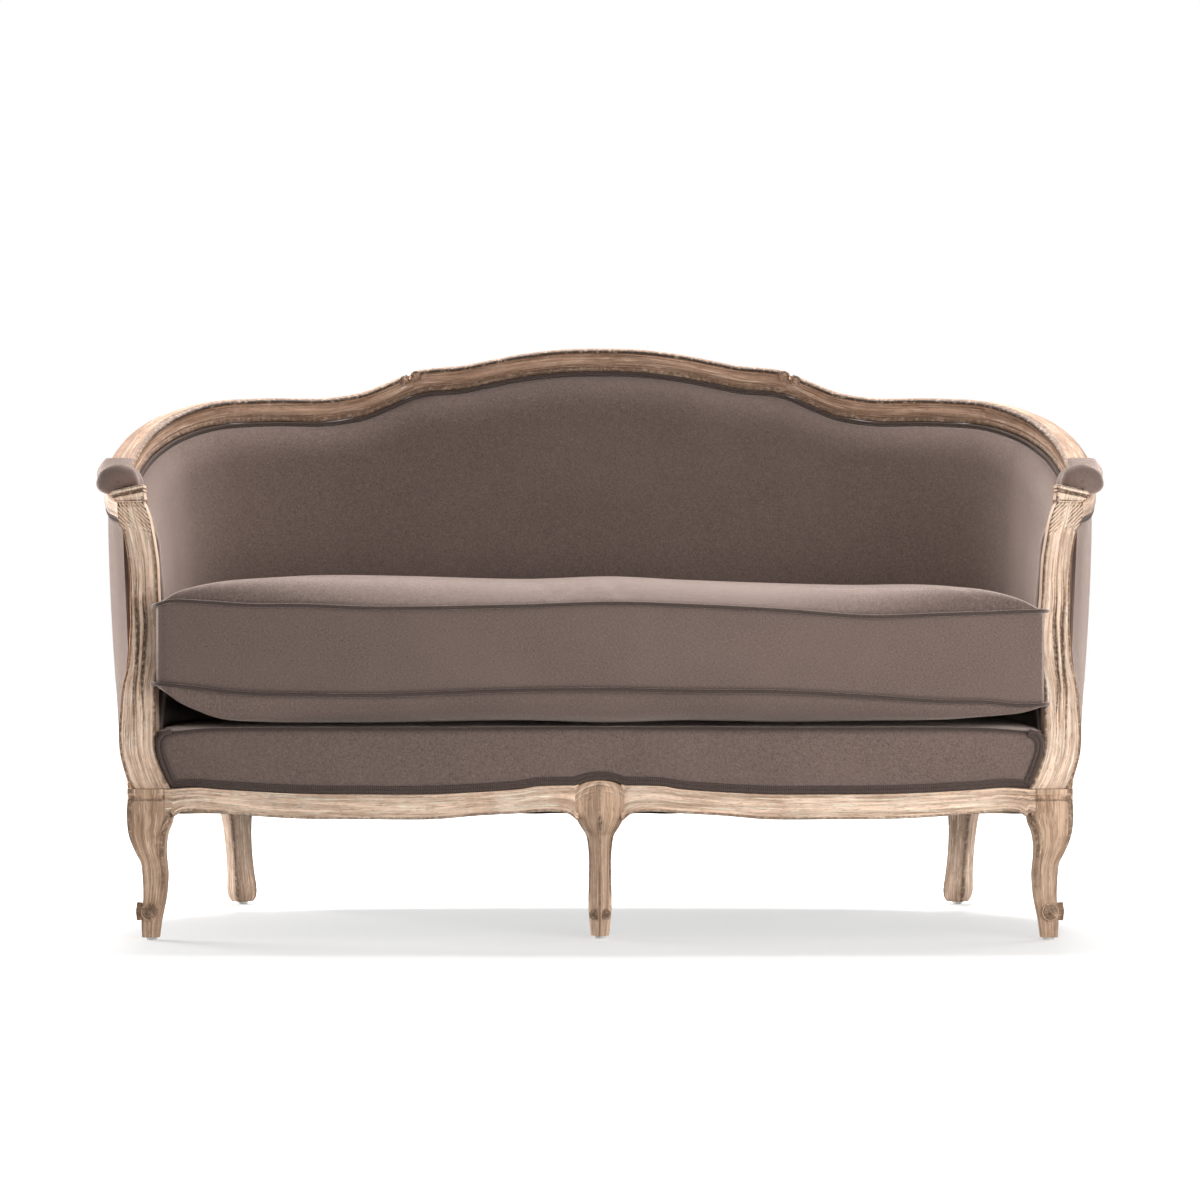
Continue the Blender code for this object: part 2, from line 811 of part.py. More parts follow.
def join(item, others):
    for other in others:
        union = item.modifiers.new("union", "BOOLEAN")
        union.operation = "UNION"
        union.object = other


def leg_top():
    return post_foot() - FIT


def corner_legs():
    low = GLIDE_THICK + FIT
    inner = leg_block_inner()
    back = plan_point(BASE_SHARES, ARM_END, 0).y - FIT
    for side, word in ((-1, "left"), (1, "right")):
        first, second = Vector((side, 0, 0)), Vector((0, -1, 0))
        rings = []
        for up, wide, shift in LEG_SHARES:
            half = wide * FRONT_LEG_WIDE / 2
            reach = shift * FRONT_LEG_WIDE + half
            height = low + (leg_top() - low) * up
            rings.append(leg_ring(Vector((side * (inner + reach), back - reach, height)), first, second, half))
        leg = loft(f"front_leg_{word}", rings, "oak")
        wide, shift = mixed(LEG_SHARES[::-1], (VOLUTE_HEIGHT - low) / (leg_top() - low))
        outer = (shift + wide) * FRONT_LEG_WIDE
        near = outer - VOLUTE_RADIUS * VOLUTE_NEAR_SHARE
        into = wide * FRONT_LEG_WIDE / 2
        front = Vector((side * (inner + near), back - outer, VOLUTE_HEIGHT))
        beside = Vector((side * (inner + outer), back - near, VOLUTE_HEIGHT))
        bosses = [
            volute(f"boss_{word}_front", front, second, VOLUTE_RADIUS, VOLUTE_PROUD, into),
            volute(f"boss_{word}_side", beside, first, VOLUTE_RADIUS, VOLUTE_PROUD, into),
        ]
        join(leg, bosses)


def leg_block_inner():
    """The corner leg's inner face at its block, from the middle of the settee."""
    return post_row(post_foot())[0] - FRONT_LEG_WIDE / 2


def centre_leg_places():
    """Where the centre leg's block stands, and half its width along its faces."""
    half = CENTRE_LEG_WIDE / 2 / LEG_SECTION_SPREAD
    front = front_face(0.0) - FRONT_BOW
    return front + half * LEG_SECTION_ARRIS, half


def centre_leg():
    low = GLIDE_THICK + FIT
    top = FRONT_RAIL_TOP + CENTRE_ARCH_RISE - SOFT_FIT
    middle, block = centre_leg_places()
    first, second = Vector((1, -1, 0)).normalized(), Vector((-1, -1, 0)).normalized()
    rings = []
    for up, wide, back in CENTRE_LEG_SHARES:
        centre = Vector((0, middle + back * CENTRE_LEG_WIDE, low + (top - low) * up))
        rings.append(leg_ring(centre, first, second, block * wide))
    leg = loft("front_leg_center", rings, "oak")
    wide, back = mixed(CENTRE_LEG_SHARES[::-1], (VOLUTE_HEIGHT - low) / (top - low))
    half = block * wide
    centre = Vector((0, middle + back * CENTRE_LEG_WIDE, VOLUTE_HEIGHT))
    near = half - CENTRE_VOLUTE_RADIUS * VOLUTE_NEAR_SHARE
    bosses = []
    for word, out, along in (("right", first, second), ("left", second, first)):
        place = centre + out * half + along * near
        bosses.append(volute(f"boss_center_{word}", place, out, CENTRE_VOLUTE_RADIUS, CENTRE_VOLUTE_PROUD, half))
    join(leg, bosses)


def front_face(across):
    """The front rail's face in plan: each half bows forward between the legs."""
    start, end = front_rail_ends()

    def read(share):
        along = max(0.0, min(1.0, (share * HALF_WIDTH - start) / (end - start)))
        return -HALF_DEPTH + FRONT_SET_BACK - FRONT_BOW * math.sin(math.pi * along)

    return straight_between(FRONT_FACET_SHARES, read, abs(across) / HALF_WIDTH)


def front_rail_ends():
    return CENTRE_LEG_FULL_SHARE * CENTRE_LEG_WIDE / 2 + FIT, leg_block_inner() - FIT


def front_line(rows, across):
    """A wavy line of the front rail, above its level."""

    def read(share):
        return smooth_line(rows, abs(share)) * FRONT_WAVE

    return straight_between(FRONT_FACET_SHARES, read, abs(across) / HALF_WIDTH)


def smooth_line(rows, key):
    """A two-column table read on a smooth curve through its rows."""
    index = 0
    while index < len(rows) - 2 and key > rows[index + 1][0]:
        index += 1
    low, high = rows[index], rows[index + 1]
    before = rows[index - 1] if index else low
    beyond = rows[index + 2] if index + 2 < len(rows) else high
    gap = high[0] - low[0]
    share = max(0.0, min(1.0, (key - low[0]) / gap))
    start = gap * (high[1] - before[1]) / (high[0] - before[0])
    end = gap * (beyond[1] - low[1]) / (beyond[0] - low[0])
    square, cube = share**2, share**3
    return (
        (2 * cube - 3 * square + 1) * low[1]
        + (cube - 2 * square + share) * start
        + (3 * square - 2 * cube) * high[1]
        + (cube - square) * end
    )


def front_rail_top(across):
    """The rail's top line, and over the centre leg its raised arch."""
    half = CENTRE_LEG_WIDE / 2

    def read(share):
        away = min(1.0, share * HALF_WIDTH / half)
        arch = (CENTRE_ARCH_RISE - FRONT_WAVE * FRONT_TOP_SHARES[0][1]) * (1 - away**2)
        return FRONT_RAIL_TOP + smooth_line(FRONT_TOP_SHARES, share) * FRONT_WAVE + arch

    return straight_between(FRONT_FACET_SHARES, read, abs(across) / HALF_WIDTH)


def front_rail_foot(across):
    return FRONT_RAIL_TOP - FRONT_RAIL_TALL + front_line(FRONT_FOOT_SHARES, across)


def front_stations(start, end):
    """Distances from the middle at which the front rail and the border turn, with the two ends."""
    turns = [share * HALF_WIDTH for share in FRONT_FACET_SHARES]
    turns = [-turn for turn in turns[:0:-1]] + turns
    return [start] + [turn for turn in turns if start + SOFT_FIT < turn < end - SOFT_FIT] + [end]


def front_rails():
    start, end = front_rail_ends()
    for side, word in ((-1, "left"), (1, "right")):
        rings = []
        for across in front_stations(start, end):
            top, foot = front_rail_top(across), front_rail_foot(across)
            ring = []
            for back, down in FRONT_SECTION_SHARES:
                y = front_face(across) + back * FRONT_RAIL_THICK
                ring.append(Vector((side * across, y, top - down * (top - foot))))
            rings.append(ring)
        loft(f"front_rail_{word}", rings, "oak")


# Rear legs and the rest of the seat frame


def rear_leg_axes(side, height):
    """Outward and along the shell at the rear leg."""
    out = shell_out(side * REAR_LEG_STATION, height)
    return out, Vector((-out.y, out.x, 0))


def hollow():
    """The depths between which the shell is hollow: behind the outside panel, and behind the inside pad."""
    return OUTSIDE_PANEL_INSET + OUTSIDE_PANEL_THICK + SHELL_FIT, INSIDE_PAD_BACK - SHELL_FIT


def rear_legs():
    low = GLIDE_THICK + FIT
    outer, inner = hollow()
    deep = inner - outer - SOFT_FIT
    for side, word in ((-1, "left"), (1, "right")):
        out, along = rear_leg_axes(side, SEAT_RAIL_TOP)
        station = side * REAR_LEG_STATION
        block = on_shell(station, SEAT_RAIL_INSET + REAR_LEG_DEEP / 2, SEAT_RAIL_TOP)
        rings = []
        for up, kick, wide in REAR_LEG_SHARES:
            centre = block + Vector((0, kick * REAR_LEG_KICK, (low - SEAT_RAIL_TOP) * (1 - up)))
            rings.append(rounded_ring(centre, out * REAR_LEG_DEEP * wide / 2, along * REAR_LEG_WIDE * wide / 2))
        for height in (SEAT_RAIL_TOP + FIT, LOWER_RAIL_TOP, rail_foot(station) - STILE_TOP_DROP):
            out, along = rear_leg_axes(side, height)
            rings.append(rounded_ring(stile_centre(station, height), out * deep / 2, along * STILE_WIDE / 2))
        loft(f"rear_leg_{word}", rings, "oak")


def stile_centre(station, height):
    outer, inner = hollow()
    return on_shell(station, (outer + SOFT_FIT + inner) / 2, height)


def rounded_ring(centre, first, second):
    return [centre + first * p + second * q for p, q in ROUNDED_SQUARE_SHARES]


def butted_bar(name, stations, section, butts, look_name):
    """A bar along the shell. An end named in butts is cut square to the piece there, clear of it by the fit."""
    rings = [[on_shell(station, inward, height) for inward, height in section] for station in stations]
    for index, (point, normal) in butts:
        inside = rings[1] if index == 0 else rings[-2]
        for corner, place in enumerate(rings[index]):
            run = inside[corner] - place
            rings[index][corner] = place + run * ((point - place).dot(normal) / run.dot(normal))
    return loft(name, rings, look_name)


def butt_plane(side, direction, centre, half, rise):
    """The face of a rear leg or its stile that looks towards the arm (direction 1) or the middle (direction -1)."""
    away = rear_leg_axes(side, centre.z)[1] * (-side * direction)
    normal = (away - rise * (away.dot(rise) / rise.dot(rise))).normalized()
    return centre + away * (half + FIT), normal


def block_butt(side, direction):
    centre = on_shell(side * REAR_LEG_STATION, SEAT_RAIL_INSET + REAR_LEG_DEEP / 2, SEAT_RAIL_TOP)
    return butt_plane(side, direction, centre, REAR_LEG_WIDE / 2, Vector((0, 0, 1)))


def stile_butt(side, direction):
    foot = stile_centre(side * REAR_LEG_STATION, SEAT_RAIL_TOP + FIT)
    top = stile_centre(side * REAR_LEG_STATION, LOWER_RAIL_TOP)
    return butt_plane(side, direction, top, STILE_WIDE / 2 + FIT, top - foot)


def bar_section(shares, depths, heights):
    """A bar's section between two depths and two heights."""
    (outer, inner), (low, high) = depths, heights
    return [(outer + (inner - outer) * inward, low + (high - low) * up) for inward, up in shares]


def shell_bars(words, section, half_leg, butt, fronts, look_name):
    """A bar on each side and one across the back, butted to the rear legs. fronts gives the planes at the arm posts."""
    half = half_leg / station_length(REAR_LEG_STATION)
    for side, word in ((-1, "left"), (1, "right")):
        stations = [side * place for place in shell_stations(REAR_LEG_STATION + half, ARM_END)]
        butts = [(0, butt(side, 1))] + [(-1, plane) for plane in fronts(side)]
        butted_bar(f"{words[0]}_{word}", stations, section, butts, look_name)
    reach = REAR_LEG_STATION - half
    butts = [(0, butt(-1, -1)), (-1, butt(1, -1))]
    butted_bar(words[1], shell_stations(-reach, reach), section, butts, look_name)


def seat_rails():
    def fronts(side):
        return [(on_shell(side * ARM_END, 0, SEAT_RAIL_TOP) + Vector((0, 2 * FIT, 0)), Vector((0, 1, 0)))]

    depths = (SEAT_RAIL_INSET, SEAT_RAIL_INSET + SEAT_RAIL_THICK)
    heights = (SEAT_RAIL_TOP - SEAT_RAIL_TALL, SEAT_RAIL_TOP)
    section = bar_section(SEAT_RAIL_SECTION_SHARES, depths, heights)
    shell_bars(("side_rail", "rear_rail"), section, REAR_LEG_WIDE / 2, block_butt, fronts, "oak")


def lower_rails():
    def fronts(side):
        return []

    heights = (LOWER_RAIL_TOP - LOWER_RAIL_TALL, LOWER_RAIL_TOP)
    section = bar_section(PLAIN_SECTION_SHARES, hollow(), heights)
    words = ("arm_lower_rail", "lower_back_rail")
    shell_bars(words, section, STILE_WIDE / 2, stile_butt, fronts, "frame_wood")


def stretcher():
    middle, half = centre_leg_places()
    front = middle + half * CENTRE_LEG_FULL_SHARE * LEG_SECTION_BACK + FIT
    inner = on_shell(0, SEAT_RAIL_INSET + SEAT_RAIL_THICK + FIT, SEAT_RAIL_TOP).y
    wide = STRETCHER_WIDE / 2
    outline = [Vector((-wide, front)), Vector((wide, front)), Vector((wide, inner)), Vector((-wide, inner))]
    low = SEAT_RAIL_TOP - SEAT_RAIL_TALL + FIT
    prism("seat_stretcher", outline, low, low + STRETCHER_TALL, "frame_wood")


def corner_blocks():
    inset = SEAT_RAIL_INSET + SEAT_RAIL_THICK + FIT
    low = SEAT_RAIL_TOP - SEAT_RAIL_TALL + FIT
    for side, word in ((-1, "left"), (1, "right")):
        stations = [side * (REAR_LEG_STATION + away) for away in REAR_BLOCK_STATIONS]
        outline = [on_shell(place, inset, low).xy for place in stations]
        prism(f"rear_corner_block_{word}", outline, low, low + BLOCK_TALL, "frame_wood")
        along_side = [on_shell(side * place, inset, low).xy for place in FRONT_BLOCK_STATIONS]
        along_front = []
        for share in FRONT_BLOCK_SHARES:
            across = leg_block_inner() * share
            along_front.append(Vector((side * across, front_face(across) + FRONT_RAIL_THICK + FIT)))
        prism(f"front_corner_block_{word}", along_side + along_front, low, low + BLOCK_TALL, "frame_wood")


# Upholstery of the shell


def lower_rail_levels():
    return [LOWER_RAIL_TOP - LOWER_RAIL_TALL, LOWER_RAIL_TOP]


def pad_face(station, height):
    """How deep the inside pad's face lies. It swells from the deck up, and is drawn in at its ends."""
    share = (height - DECK_TOP) / (rail_foot(station) - DECK_TOP)
    swell = mixed(INSIDE_SWELL_SHARES, share)[0]
    full = INSIDE_PAD_LOW + (INSIDE_PAD_FULL - INSIDE_PAD_LOW) * swell
    from_end = (ARM_END - abs(station)) * station_length(ARM_END - 0.5) - WELT_WIDE - SOFT_FIT
    turn = max(0.0, min(1.0, from_end / INSIDE_PAD_EDGE_ROLL))
    return INSIDE_PAD_END + (full - INSIDE_PAD_END) * math.sqrt(1 - (1 - turn) ** 2)


def pad_place(station, share):
    """The pad's face: its depth and height, a share of the way up from the deck to the welt under the rail."""
    height = DECK_TOP + (rail_foot(station) - SHELL_FIT - WELT_WIDE - SOFT_FIT - DECK_TOP) * share
    near = min(1.0, (1 - share) / (1 - PAD_SHOULDER_SHARE))
    under = RAIL_WIDE - SOFT_FIT
    return under + (pad_face(station, height) - under) * math.sqrt(1 - (1 - near) ** 2), height


def inside_section(station):
    """The inside pad: a flat back, a rebate for the welt under the rail, and a face that swells below it."""
    top = rail_foot(station) - SHELL_FIT
    points = [(INSIDE_PAD_BACK, level) for level in [INSIDE_PAD_BOTTOM] + lower_rail_levels() + [top]]
    points += [(RAIL_WIDE - SOFT_FIT, top), (RAIL_WIDE - SOFT_FIT, top - WELT_WIDE - SOFT_FIT)]
    points += [pad_place(station, share) for share in INSIDE_FACE_SHARES]
    return points + [(pad_face(station, DECK_TOP), INSIDE_PAD_BOTTOM)]


def inside_back():
    per_metre = 1 / station_length(ARM_END - 0.5)
    rebate = ARM_END - (WELT_WIDE + SOFT_FIT) * per_metre
    ends = [rebate - INSIDE_PAD_EDGE_ROLL * per_metre * share for share in END_ROLL_SHARES]
    half = shell_stations(0.0, ends[0]) + ends[1:] + [rebate, ARM_END]
    shell_sweep("inside_back_pad", mirrored(half) + half[1:], inside_section, "linen")

    def welt_section(station):
        return welt_points(RAIL_WIDE - SOFT_FIT + FIT, rail_foot(station) - SHELL_FIT, 1)

    shell_sweep("inside_back_welt", shell_stations(-ARM_END, ARM_END), welt_section, "linen")
    for side, word in ((-1, "left"), (1, "right")):
        rings = []
        for share in INSIDE_FACE_SHARES[::-1]:
            ring = []
            for wide, thick in WELT_SECTION_SHARES:
                station = side * (ARM_END - (0.5 + wide) * WELT_WIDE * per_metre)
                depth, height = pad_place(station, share)
                ring.append(on_shell(station, depth + SHELL_FIT + thick * WELT_THICK, height))
            rings.append(ring)
        loft(f"inside_arm_welt_{word}", rings, "linen")


def outside_section(station):
    top, low = rail_foot(station) - SHELL_FIT, SEAT_RAIL_TOP + FIT
    face, back = OUTSIDE_PANEL_INSET, OUTSIDE_PANEL_INSET + OUTSIDE_PANEL_THICK
    points = [(back, level) for level in [top] + lower_rail_levels()[::-1] + [low]]
    points += [(face, low), (face, low + WELT_WIDE + SOFT_FIT)]
    for share, swell in OUTSIDE_SWELL_SHARES:
        points.append((face - swell * OUTSIDE_PANEL_SWELL, low + (top - low) * share))
    return points + [(face, top - WELT_WIDE - SOFT_FIT), (face, top)]


def outside_panels():
    fit = FIT / station_length(REAR_LEG_STATION)
    for side, word in ((-1, "left"), (1, "right")):
        stations = side_stations(side, REAR_LEG_STATION + fit, ARM_END)
        shell_sweep(f"outside_arm_panel_{word}", stations, outside_section, "linen")
    reach = REAR_LEG_STATION - fit
    shell_sweep("outside_back_panel", shell_stations(-reach, reach), outside_section, "linen")

    def top_section(station):
        return welt_points(OUTSIDE_PANEL_INSET - FIT, rail_foot(station) - SHELL_FIT, -1)

    def foot_section(station):
        return welt_points(OUTSIDE_PANEL_INSET - FIT, SEAT_RAIL_TOP + FIT + WELT_WIDE, -1)

    stations = shell_stations(-ARM_END, ARM_END)
    shell_sweep("outside_top_welt", stations, top_section, "linen")
    shell_sweep("outside_foot_welt", stations, foot_section, "linen")


def elbow_pads():
    """A pad on each arm rail, with a blunt nose at the post, and a welt along its outer side."""
    wide = RAIL_WIDE - 2 * ELBOW_PAD_INSET
    start = ARM_END - SOFT_FIT / station_length(ARM_END - 0.5, RAIL_SHARES)
    length = start - ELBOW_PAD_END_STATION
    shares = {row[0] for row in ELBOW_TALL_SHARES} | set(ELBOW_WELT_SHARES)
    shares |= {(start - facet) / length for facet in FACETS if ELBOW_PAD_END_STATION < facet < start}
    first, last = ELBOW_WELT_SHARES
    recess = ELBOW_PAD_INSET + WELT_THICK

    def section(station):
        foot = rail_top(station) + SHELL_FIT
        tall, spread = mixed(ELBOW_TALL_SHARES, (start - abs(station)) / length)
        tall *= ELBOW_PAD_TALL
        rebate = min(WELT_WIDE + SOFT_FIT, tall * ELBOW_REBATE_SHARE)
        points = [(recess + FIT, foot), (recess + FIT, foot + rebate)]
        for across, up in ELBOW_SECTION_SHARES:
            inward = ELBOW_PAD_INSET + (0.5 + (across - 0.5) * spread) * wide
            points.append((inward, foot + rebate + up * (tall - rebate)))
        return points + [(ELBOW_PAD_INSET + wide, foot)]

    def welt_section(station):
        return welt_points(recess, rail_top(station) + SHELL_FIT + WELT_WIDE, -1)

    for side, word in ((-1, "left"), (1, "right")):
        stations = [side * (start - share * length) for share in sorted(shares)]
        shell_sweep(f"elbow_pad_{word}", stations, section, "linen")
        stations = [side * (start - share * length) for share in sorted(shares) if first <= share <= last]
        shell_sweep(f"elbow_welt_{word}", stations, welt_section, "linen")


# Seat deck, its front border and the dust cover


def deck_ring(depth, height, front, reach=HALF_WIDTH):
    """A plan outline: along the shell at a depth, and across the front, no wider than its reach, on a given line."""
    ring = [on_shell(station, depth, height) for station in shell_stations(-ARM_END, ARM_END)]
    reach = min(reach, ring[-1].x)
    ring[0].x, ring[-1].x = -reach, reach
    for across in front_stations(-reach, reach)[::-1]:
        ring.append(Vector((across, front(across), height)))
    return ring


def deck():
    depth = INSIDE_PAD_LOW + SOFT_FIT

    def front(across):
        return front_face(across) + BORDER_SET_BACK + BORDER_DEEP + SOFT_FIT

    def rolled_front(across):
        return front(across) + DECK_EDGE

    foot = DECK_TOP - DECK_THICK
    reach = post_inner(foot) - SOFT_FIT
    rings = [deck_ring(depth, height, front, reach) for height in (foot, DECK_TOP - DECK_EDGE)]
    rings.append(deck_ring(depth + DECK_EDGE, DECK_TOP, rolled_front, reach - DECK_EDGE))
    loft("seat_deck", rings, "linen")


def border_foot(across):
    return front_rail_top(across) + FIT


def border_ring(share, reach):
    """The border at a share of the way from the middle to its end, which follows the post's inner side."""
    ring = []
    for back, up, swell in BORDER_SECTION_SHARES:
        guess = border_foot(share * reach)
        across = share * (post_inner(guess + (DECK_TOP - guess) * up) - SOFT_FIT)
        foot = border_foot(across)
        flat = 1 - abs(share) ** BORDER_END_POWER
        y = front_face(across) + BORDER_SET_BACK + back * BORDER_DEEP - swell * flat * BORDER_SWELL
        ring.append(Vector((across, y, foot + (DECK_TOP - foot) * up)))
    return ring


def deck_border():
    reach = post_inner(border_foot(leg_block_inner())) - SOFT_FIT
    stations = front_stations(-reach, reach)
    loft("deck_front_border", [border_ring(across / reach, reach) for across in stations], "linen")
    rings = []
    for across in stations:
        face = front_face(across) + BORDER_SET_BACK - FIT
        top = border_foot(across) + BORDER_WELT_WIDE
        rings.append([Vector((across, y, height)) for y, height in welt_points(face, top, -1, BORDER_WELT_WIDE)])
    loft("deck_front_welt", rings, "linen")
    for side, word in ((-1, "left"), (1, "right")):
        rings = []
        foot = border_foot(reach) + BORDER_WELT_WIDE + SOFT_FIT
        for height in steps(foot, DECK_TOP - BORDER_ROLL, BORDER_WELT_STEPS):
            outer = post_inner(height) - SOFT_FIT
            ring = []
            for wide, thick in WELT_SECTION_SHARES:
                across = outer - (0.5 - wide) * BORDER_WELT_WIDE
                y = front_face(outer) + BORDER_SET_BACK - SOFT_FIT - thick * WELT_THICK
                ring.append(Vector((side * across, y, height)))
            rings.append(ring)
        loft(f"deck_side_welt_{word}", rings, "linen")


def dust_cover():
    """A sheet under the seat, from the rear legs to the backs of the front ones."""
    depth = SEAT_RAIL_INSET + REAR_LEG_DEEP + SOFT_FIT
    middle, half = centre_leg_places()
    legs = max(plan_point(BASE_SHARES, ARM_END, 0).y, middle + half * CENTRE_LEG_FULL_SHARE * LEG_SECTION_BACK)
    front = legs + SOFT_FIT
    top = SEAT_RAIL_TOP - SEAT_RAIL_TALL - FIT
    shell = [on_shell(station, depth, top) for station in shell_stations(-ARM_END, ARM_END)]
    outline = [point for point in shell if point.y > front + SOFT_FIT]
    outline += [Vector((end.x, front, top)) for end in (shell[-1], shell[0])]
    prism("dust_cover", outline, top - DUST_COVER_THICK, top, "dust_cloth")


# The loose cushion


def cushion_outline():
    """The seam line in plan: the shell's pad sets its sides and back, and the front bows a little between corners."""
    height = DECK_TOP + (rail_foot(0) - DECK_TOP) * CUSHION_WAIST_SHARE
    points = []
    for station in shell_stations(-CUSHION_SIDE_STATION, CUSHION_SIDE_STATION)[::-1]:
        points.append(on_shell(station, INSIDE_PAD_FULL + CUSHION_GAP, height).xy)
    front = FIT - HALF_DEPTH
    levels = steps(CUSHION_LOW_SEAM, CUSHION_HIGH_SEAM, CUSHION_POST_LEVELS)
    side = min(post_inner(level) for level in levels) - CUSHION_POST_GAP
    corner = CUSHION_CORNER
    left = []
    for turn in steps(0.0, math.pi / 2, CUSHION_CORNER_STEPS):
        x = side - corner + corner * math.cos(turn)
        y = front + CUSHION_BOW + corner - corner * math.sin(turn)
        left.append(Vector((-x, y)))
    middle = [Vector((share * (side - corner), front)) for share in CUSHION_FRONT_SHARES]
    for point in middle:
        point.y += CUSHION_BOW * (point.x / (side - corner)) ** 2
    right = [Vector((-point.x, point.y)) for point in left[::-1]]
    return points + left + middle + right


def cushion():
    outline = cushion_outline()
    near, far = min(point.y for point in outline), max(point.y for point in outline)
    middle = Vector((0, (near + far) / 2))
    half_wide, half_deep = max(point.x for point in outline), (far - near) / 2

    def ring(inset, height):
        made = []
        for point in outline:
            away = point - middle
            x = middle.x + away.x * (1 - inset / half_wide)
            y = middle.y + away.y * (1 - inset / half_deep)
            made.append(Vector((x, y, height)))
        return made

    low, high = CUSHION_LOW_SEAM, CUSHION_HIGH_SEAM
    foot = DECK_TOP + FIT
    rings = [ring(CUSHION_BELLY * inset, foot + (low - foot) * up) for inset, up in CUSHION_FOOT_SHARES]
    for up, draw in CUSHION_SIDE_SHARES:
        rings.append(ring(PIPING_RADIUS * 2 - draw * CUSHION_DRAW, low + (high - low) * up))
    for inset, rise in CUSHION_TOP_SHARES:
        rings.append(ring(inset * half_deep, high + (CUSHION_CROWN - high) * rise))
    loft("seat_cushion", rings, "linen")
    for word, height in (("bottom", low), ("top", high)):
        centres = ring(PIPING_RADIUS - FIT, height)
        tube_loop(f"cushion_piping_{word}", centres, PIPING_RADIUS, PIPING_SIDES, "linen")
    zip_fastener(ring, outline, (low + high) / 2)


def zip_fastener(ring, outline, level):
    """The closed zip along the back of the cushion."""
    rear = [index for index, point in enumerate(outline) if point.y > 0 and abs(point.x) < ZIP_REACH]
    inner = PIPING_RADIUS * 2 - CUSHION_DRAW - FIT
    outer = inner - ZIP_THICK
    rows = []
    for inset, side in ((inner, -1), (inner, 1), (outer, 1), (outer, -1)):
        row = ring(inset, level + side * ZIP_WIDE / 2)
        rows.append([row[index] for index in rear])
    loft("cushion_zip", list(zip(*rows)), "linen")


# Springs and glides


def rear_line(across):
    """The middle of the rear seat rail, where it is nearest over a spring's width."""
    half = SPRING_HALF_WIDE
    depth = SEAT_RAIL_INSET + SEAT_RAIL_THICK / 2
    return min(on_shell(station_at(abs(across + away)), depth, SEAT_RAIL_TOP).y for away in (-half, 0, half))


def spring_points(across):
    radius, half = SPRING_WIRE_RADIUS, SPRING_HALF_WIDE
    front = max(front_face(across + away) for away in (-half, 0, half)) + FRONT_RAIL_THICK - 2 * radius
    back = rear_line(across)
    low_front = max(front_rail_top(across + away) for away in (-half, 0, half)) + FIT + radius
    low_back = SEAT_RAIL_TOP + FIT + radius
    crown = DECK_TOP - DECK_THICK - FIT - radius
    turns = max(FEWEST_SPRING_TURNS, round((back - front) / SPRING_STEP))
    points = []
    for turn in range(turns + 1):
        share = turn / turns
        ends = low_front + (low_back - low_front) * share
        height = ends + (crown - ends) * math.sin(math.pi * share)
        y = front + (back - front) * share
        swing = half if turn % 2 else -half
        points += [Vector((across - swing, y, height)), Vector((across + swing, y, height))]
    return points


def springs():
    reach = SPRING_REACH_SHARE * HALF_WIDTH
    for index, across in enumerate(steps(-reach, reach, SPRING_COUNT)):
        curve = bpy.data.curves.new(f"seat_spring_{index + 1}", "CURVE")
        curve.dimensions = "3D"
        curve.bevel_depth = SPRING_WIRE_RADIUS
        curve.bevel_resolution = 0
        curve.use_fill_caps = True
        points = spring_points(across)
        spline = curve.splines.new("POLY")
        spline.points.add(len(points) - 1)
        for place, point in zip(spline.points, points):
            place.co = (*point, 1.0)
        curve.materials.append(look("steel"))
        spring = bpy.data.objects.new(curve.name, curve)
        bpy.context.scene.collection.objects.link(spring)


def glide(name, centre):
    rings = []
    for height, share in ((0.0, GLIDE_FOOT_SHARE), (GLIDE_THICK / 2, 1.0), (GLIDE_THICK, 1.0)):
        ring = []
        for side in range(GLIDE_SIDES):
            angle = math.tau * side / GLIDE_SIDES
            around = Vector((math.cos(angle), math.sin(angle))) * GLIDE_RADIUS * share
            ring.append((centre + around).to_3d() + Vector((0, 0, height)))
        rings.append(ring)
    loft(name, rings, "nylon")


def glides():
    back = plan_point(BASE_SHARES, ARM_END, 0).y - FIT
    _, wide, shift = LEG_SHARES[-1]
    reach = (shift + wide / 2) * FRONT_LEG_WIDE
    middle, _ = centre_leg_places()
    glide("glide_front_center", Vector((0, middle + CENTRE_LEG_SHARES[-1][2] * CENTRE_LEG_WIDE)))
    for side, word in ((-1, "left"), (1, "right")):
        glide(f"glide_front_{word}", Vector((side * (leg_block_inner() + reach), back - reach)))
        block = on_shell(side * REAR_LEG_STATION, SEAT_RAIL_INSET + REAR_LEG_DEEP / 2, SEAT_RAIL_TOP)
        glide(f"glide_rear_{word}", block.xy + Vector((0, REAR_LEG_KICK)))


clear_scene()
rails()
arm_posts()
corner_legs()
centre_leg()
front_rails()
rear_legs()
seat_rails()
lower_rails()
stretcher()
corner_blocks()
inside_back()
outside_panels()
elbow_pads()
deck()
deck_border()
dust_cover()
cushion()
springs()
glides()
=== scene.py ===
"""The looks of a two-seat settee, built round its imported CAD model: limed oak show-wood and linen upholstery.

Metres, +Z up, the seat faces -Y. The arms and the back are one shell. A place on it is a station along it (0 in the
middle of the back, 17 at the right arm post, -17 at the left one), a depth inward from its outer face, and a height.
"""

import math

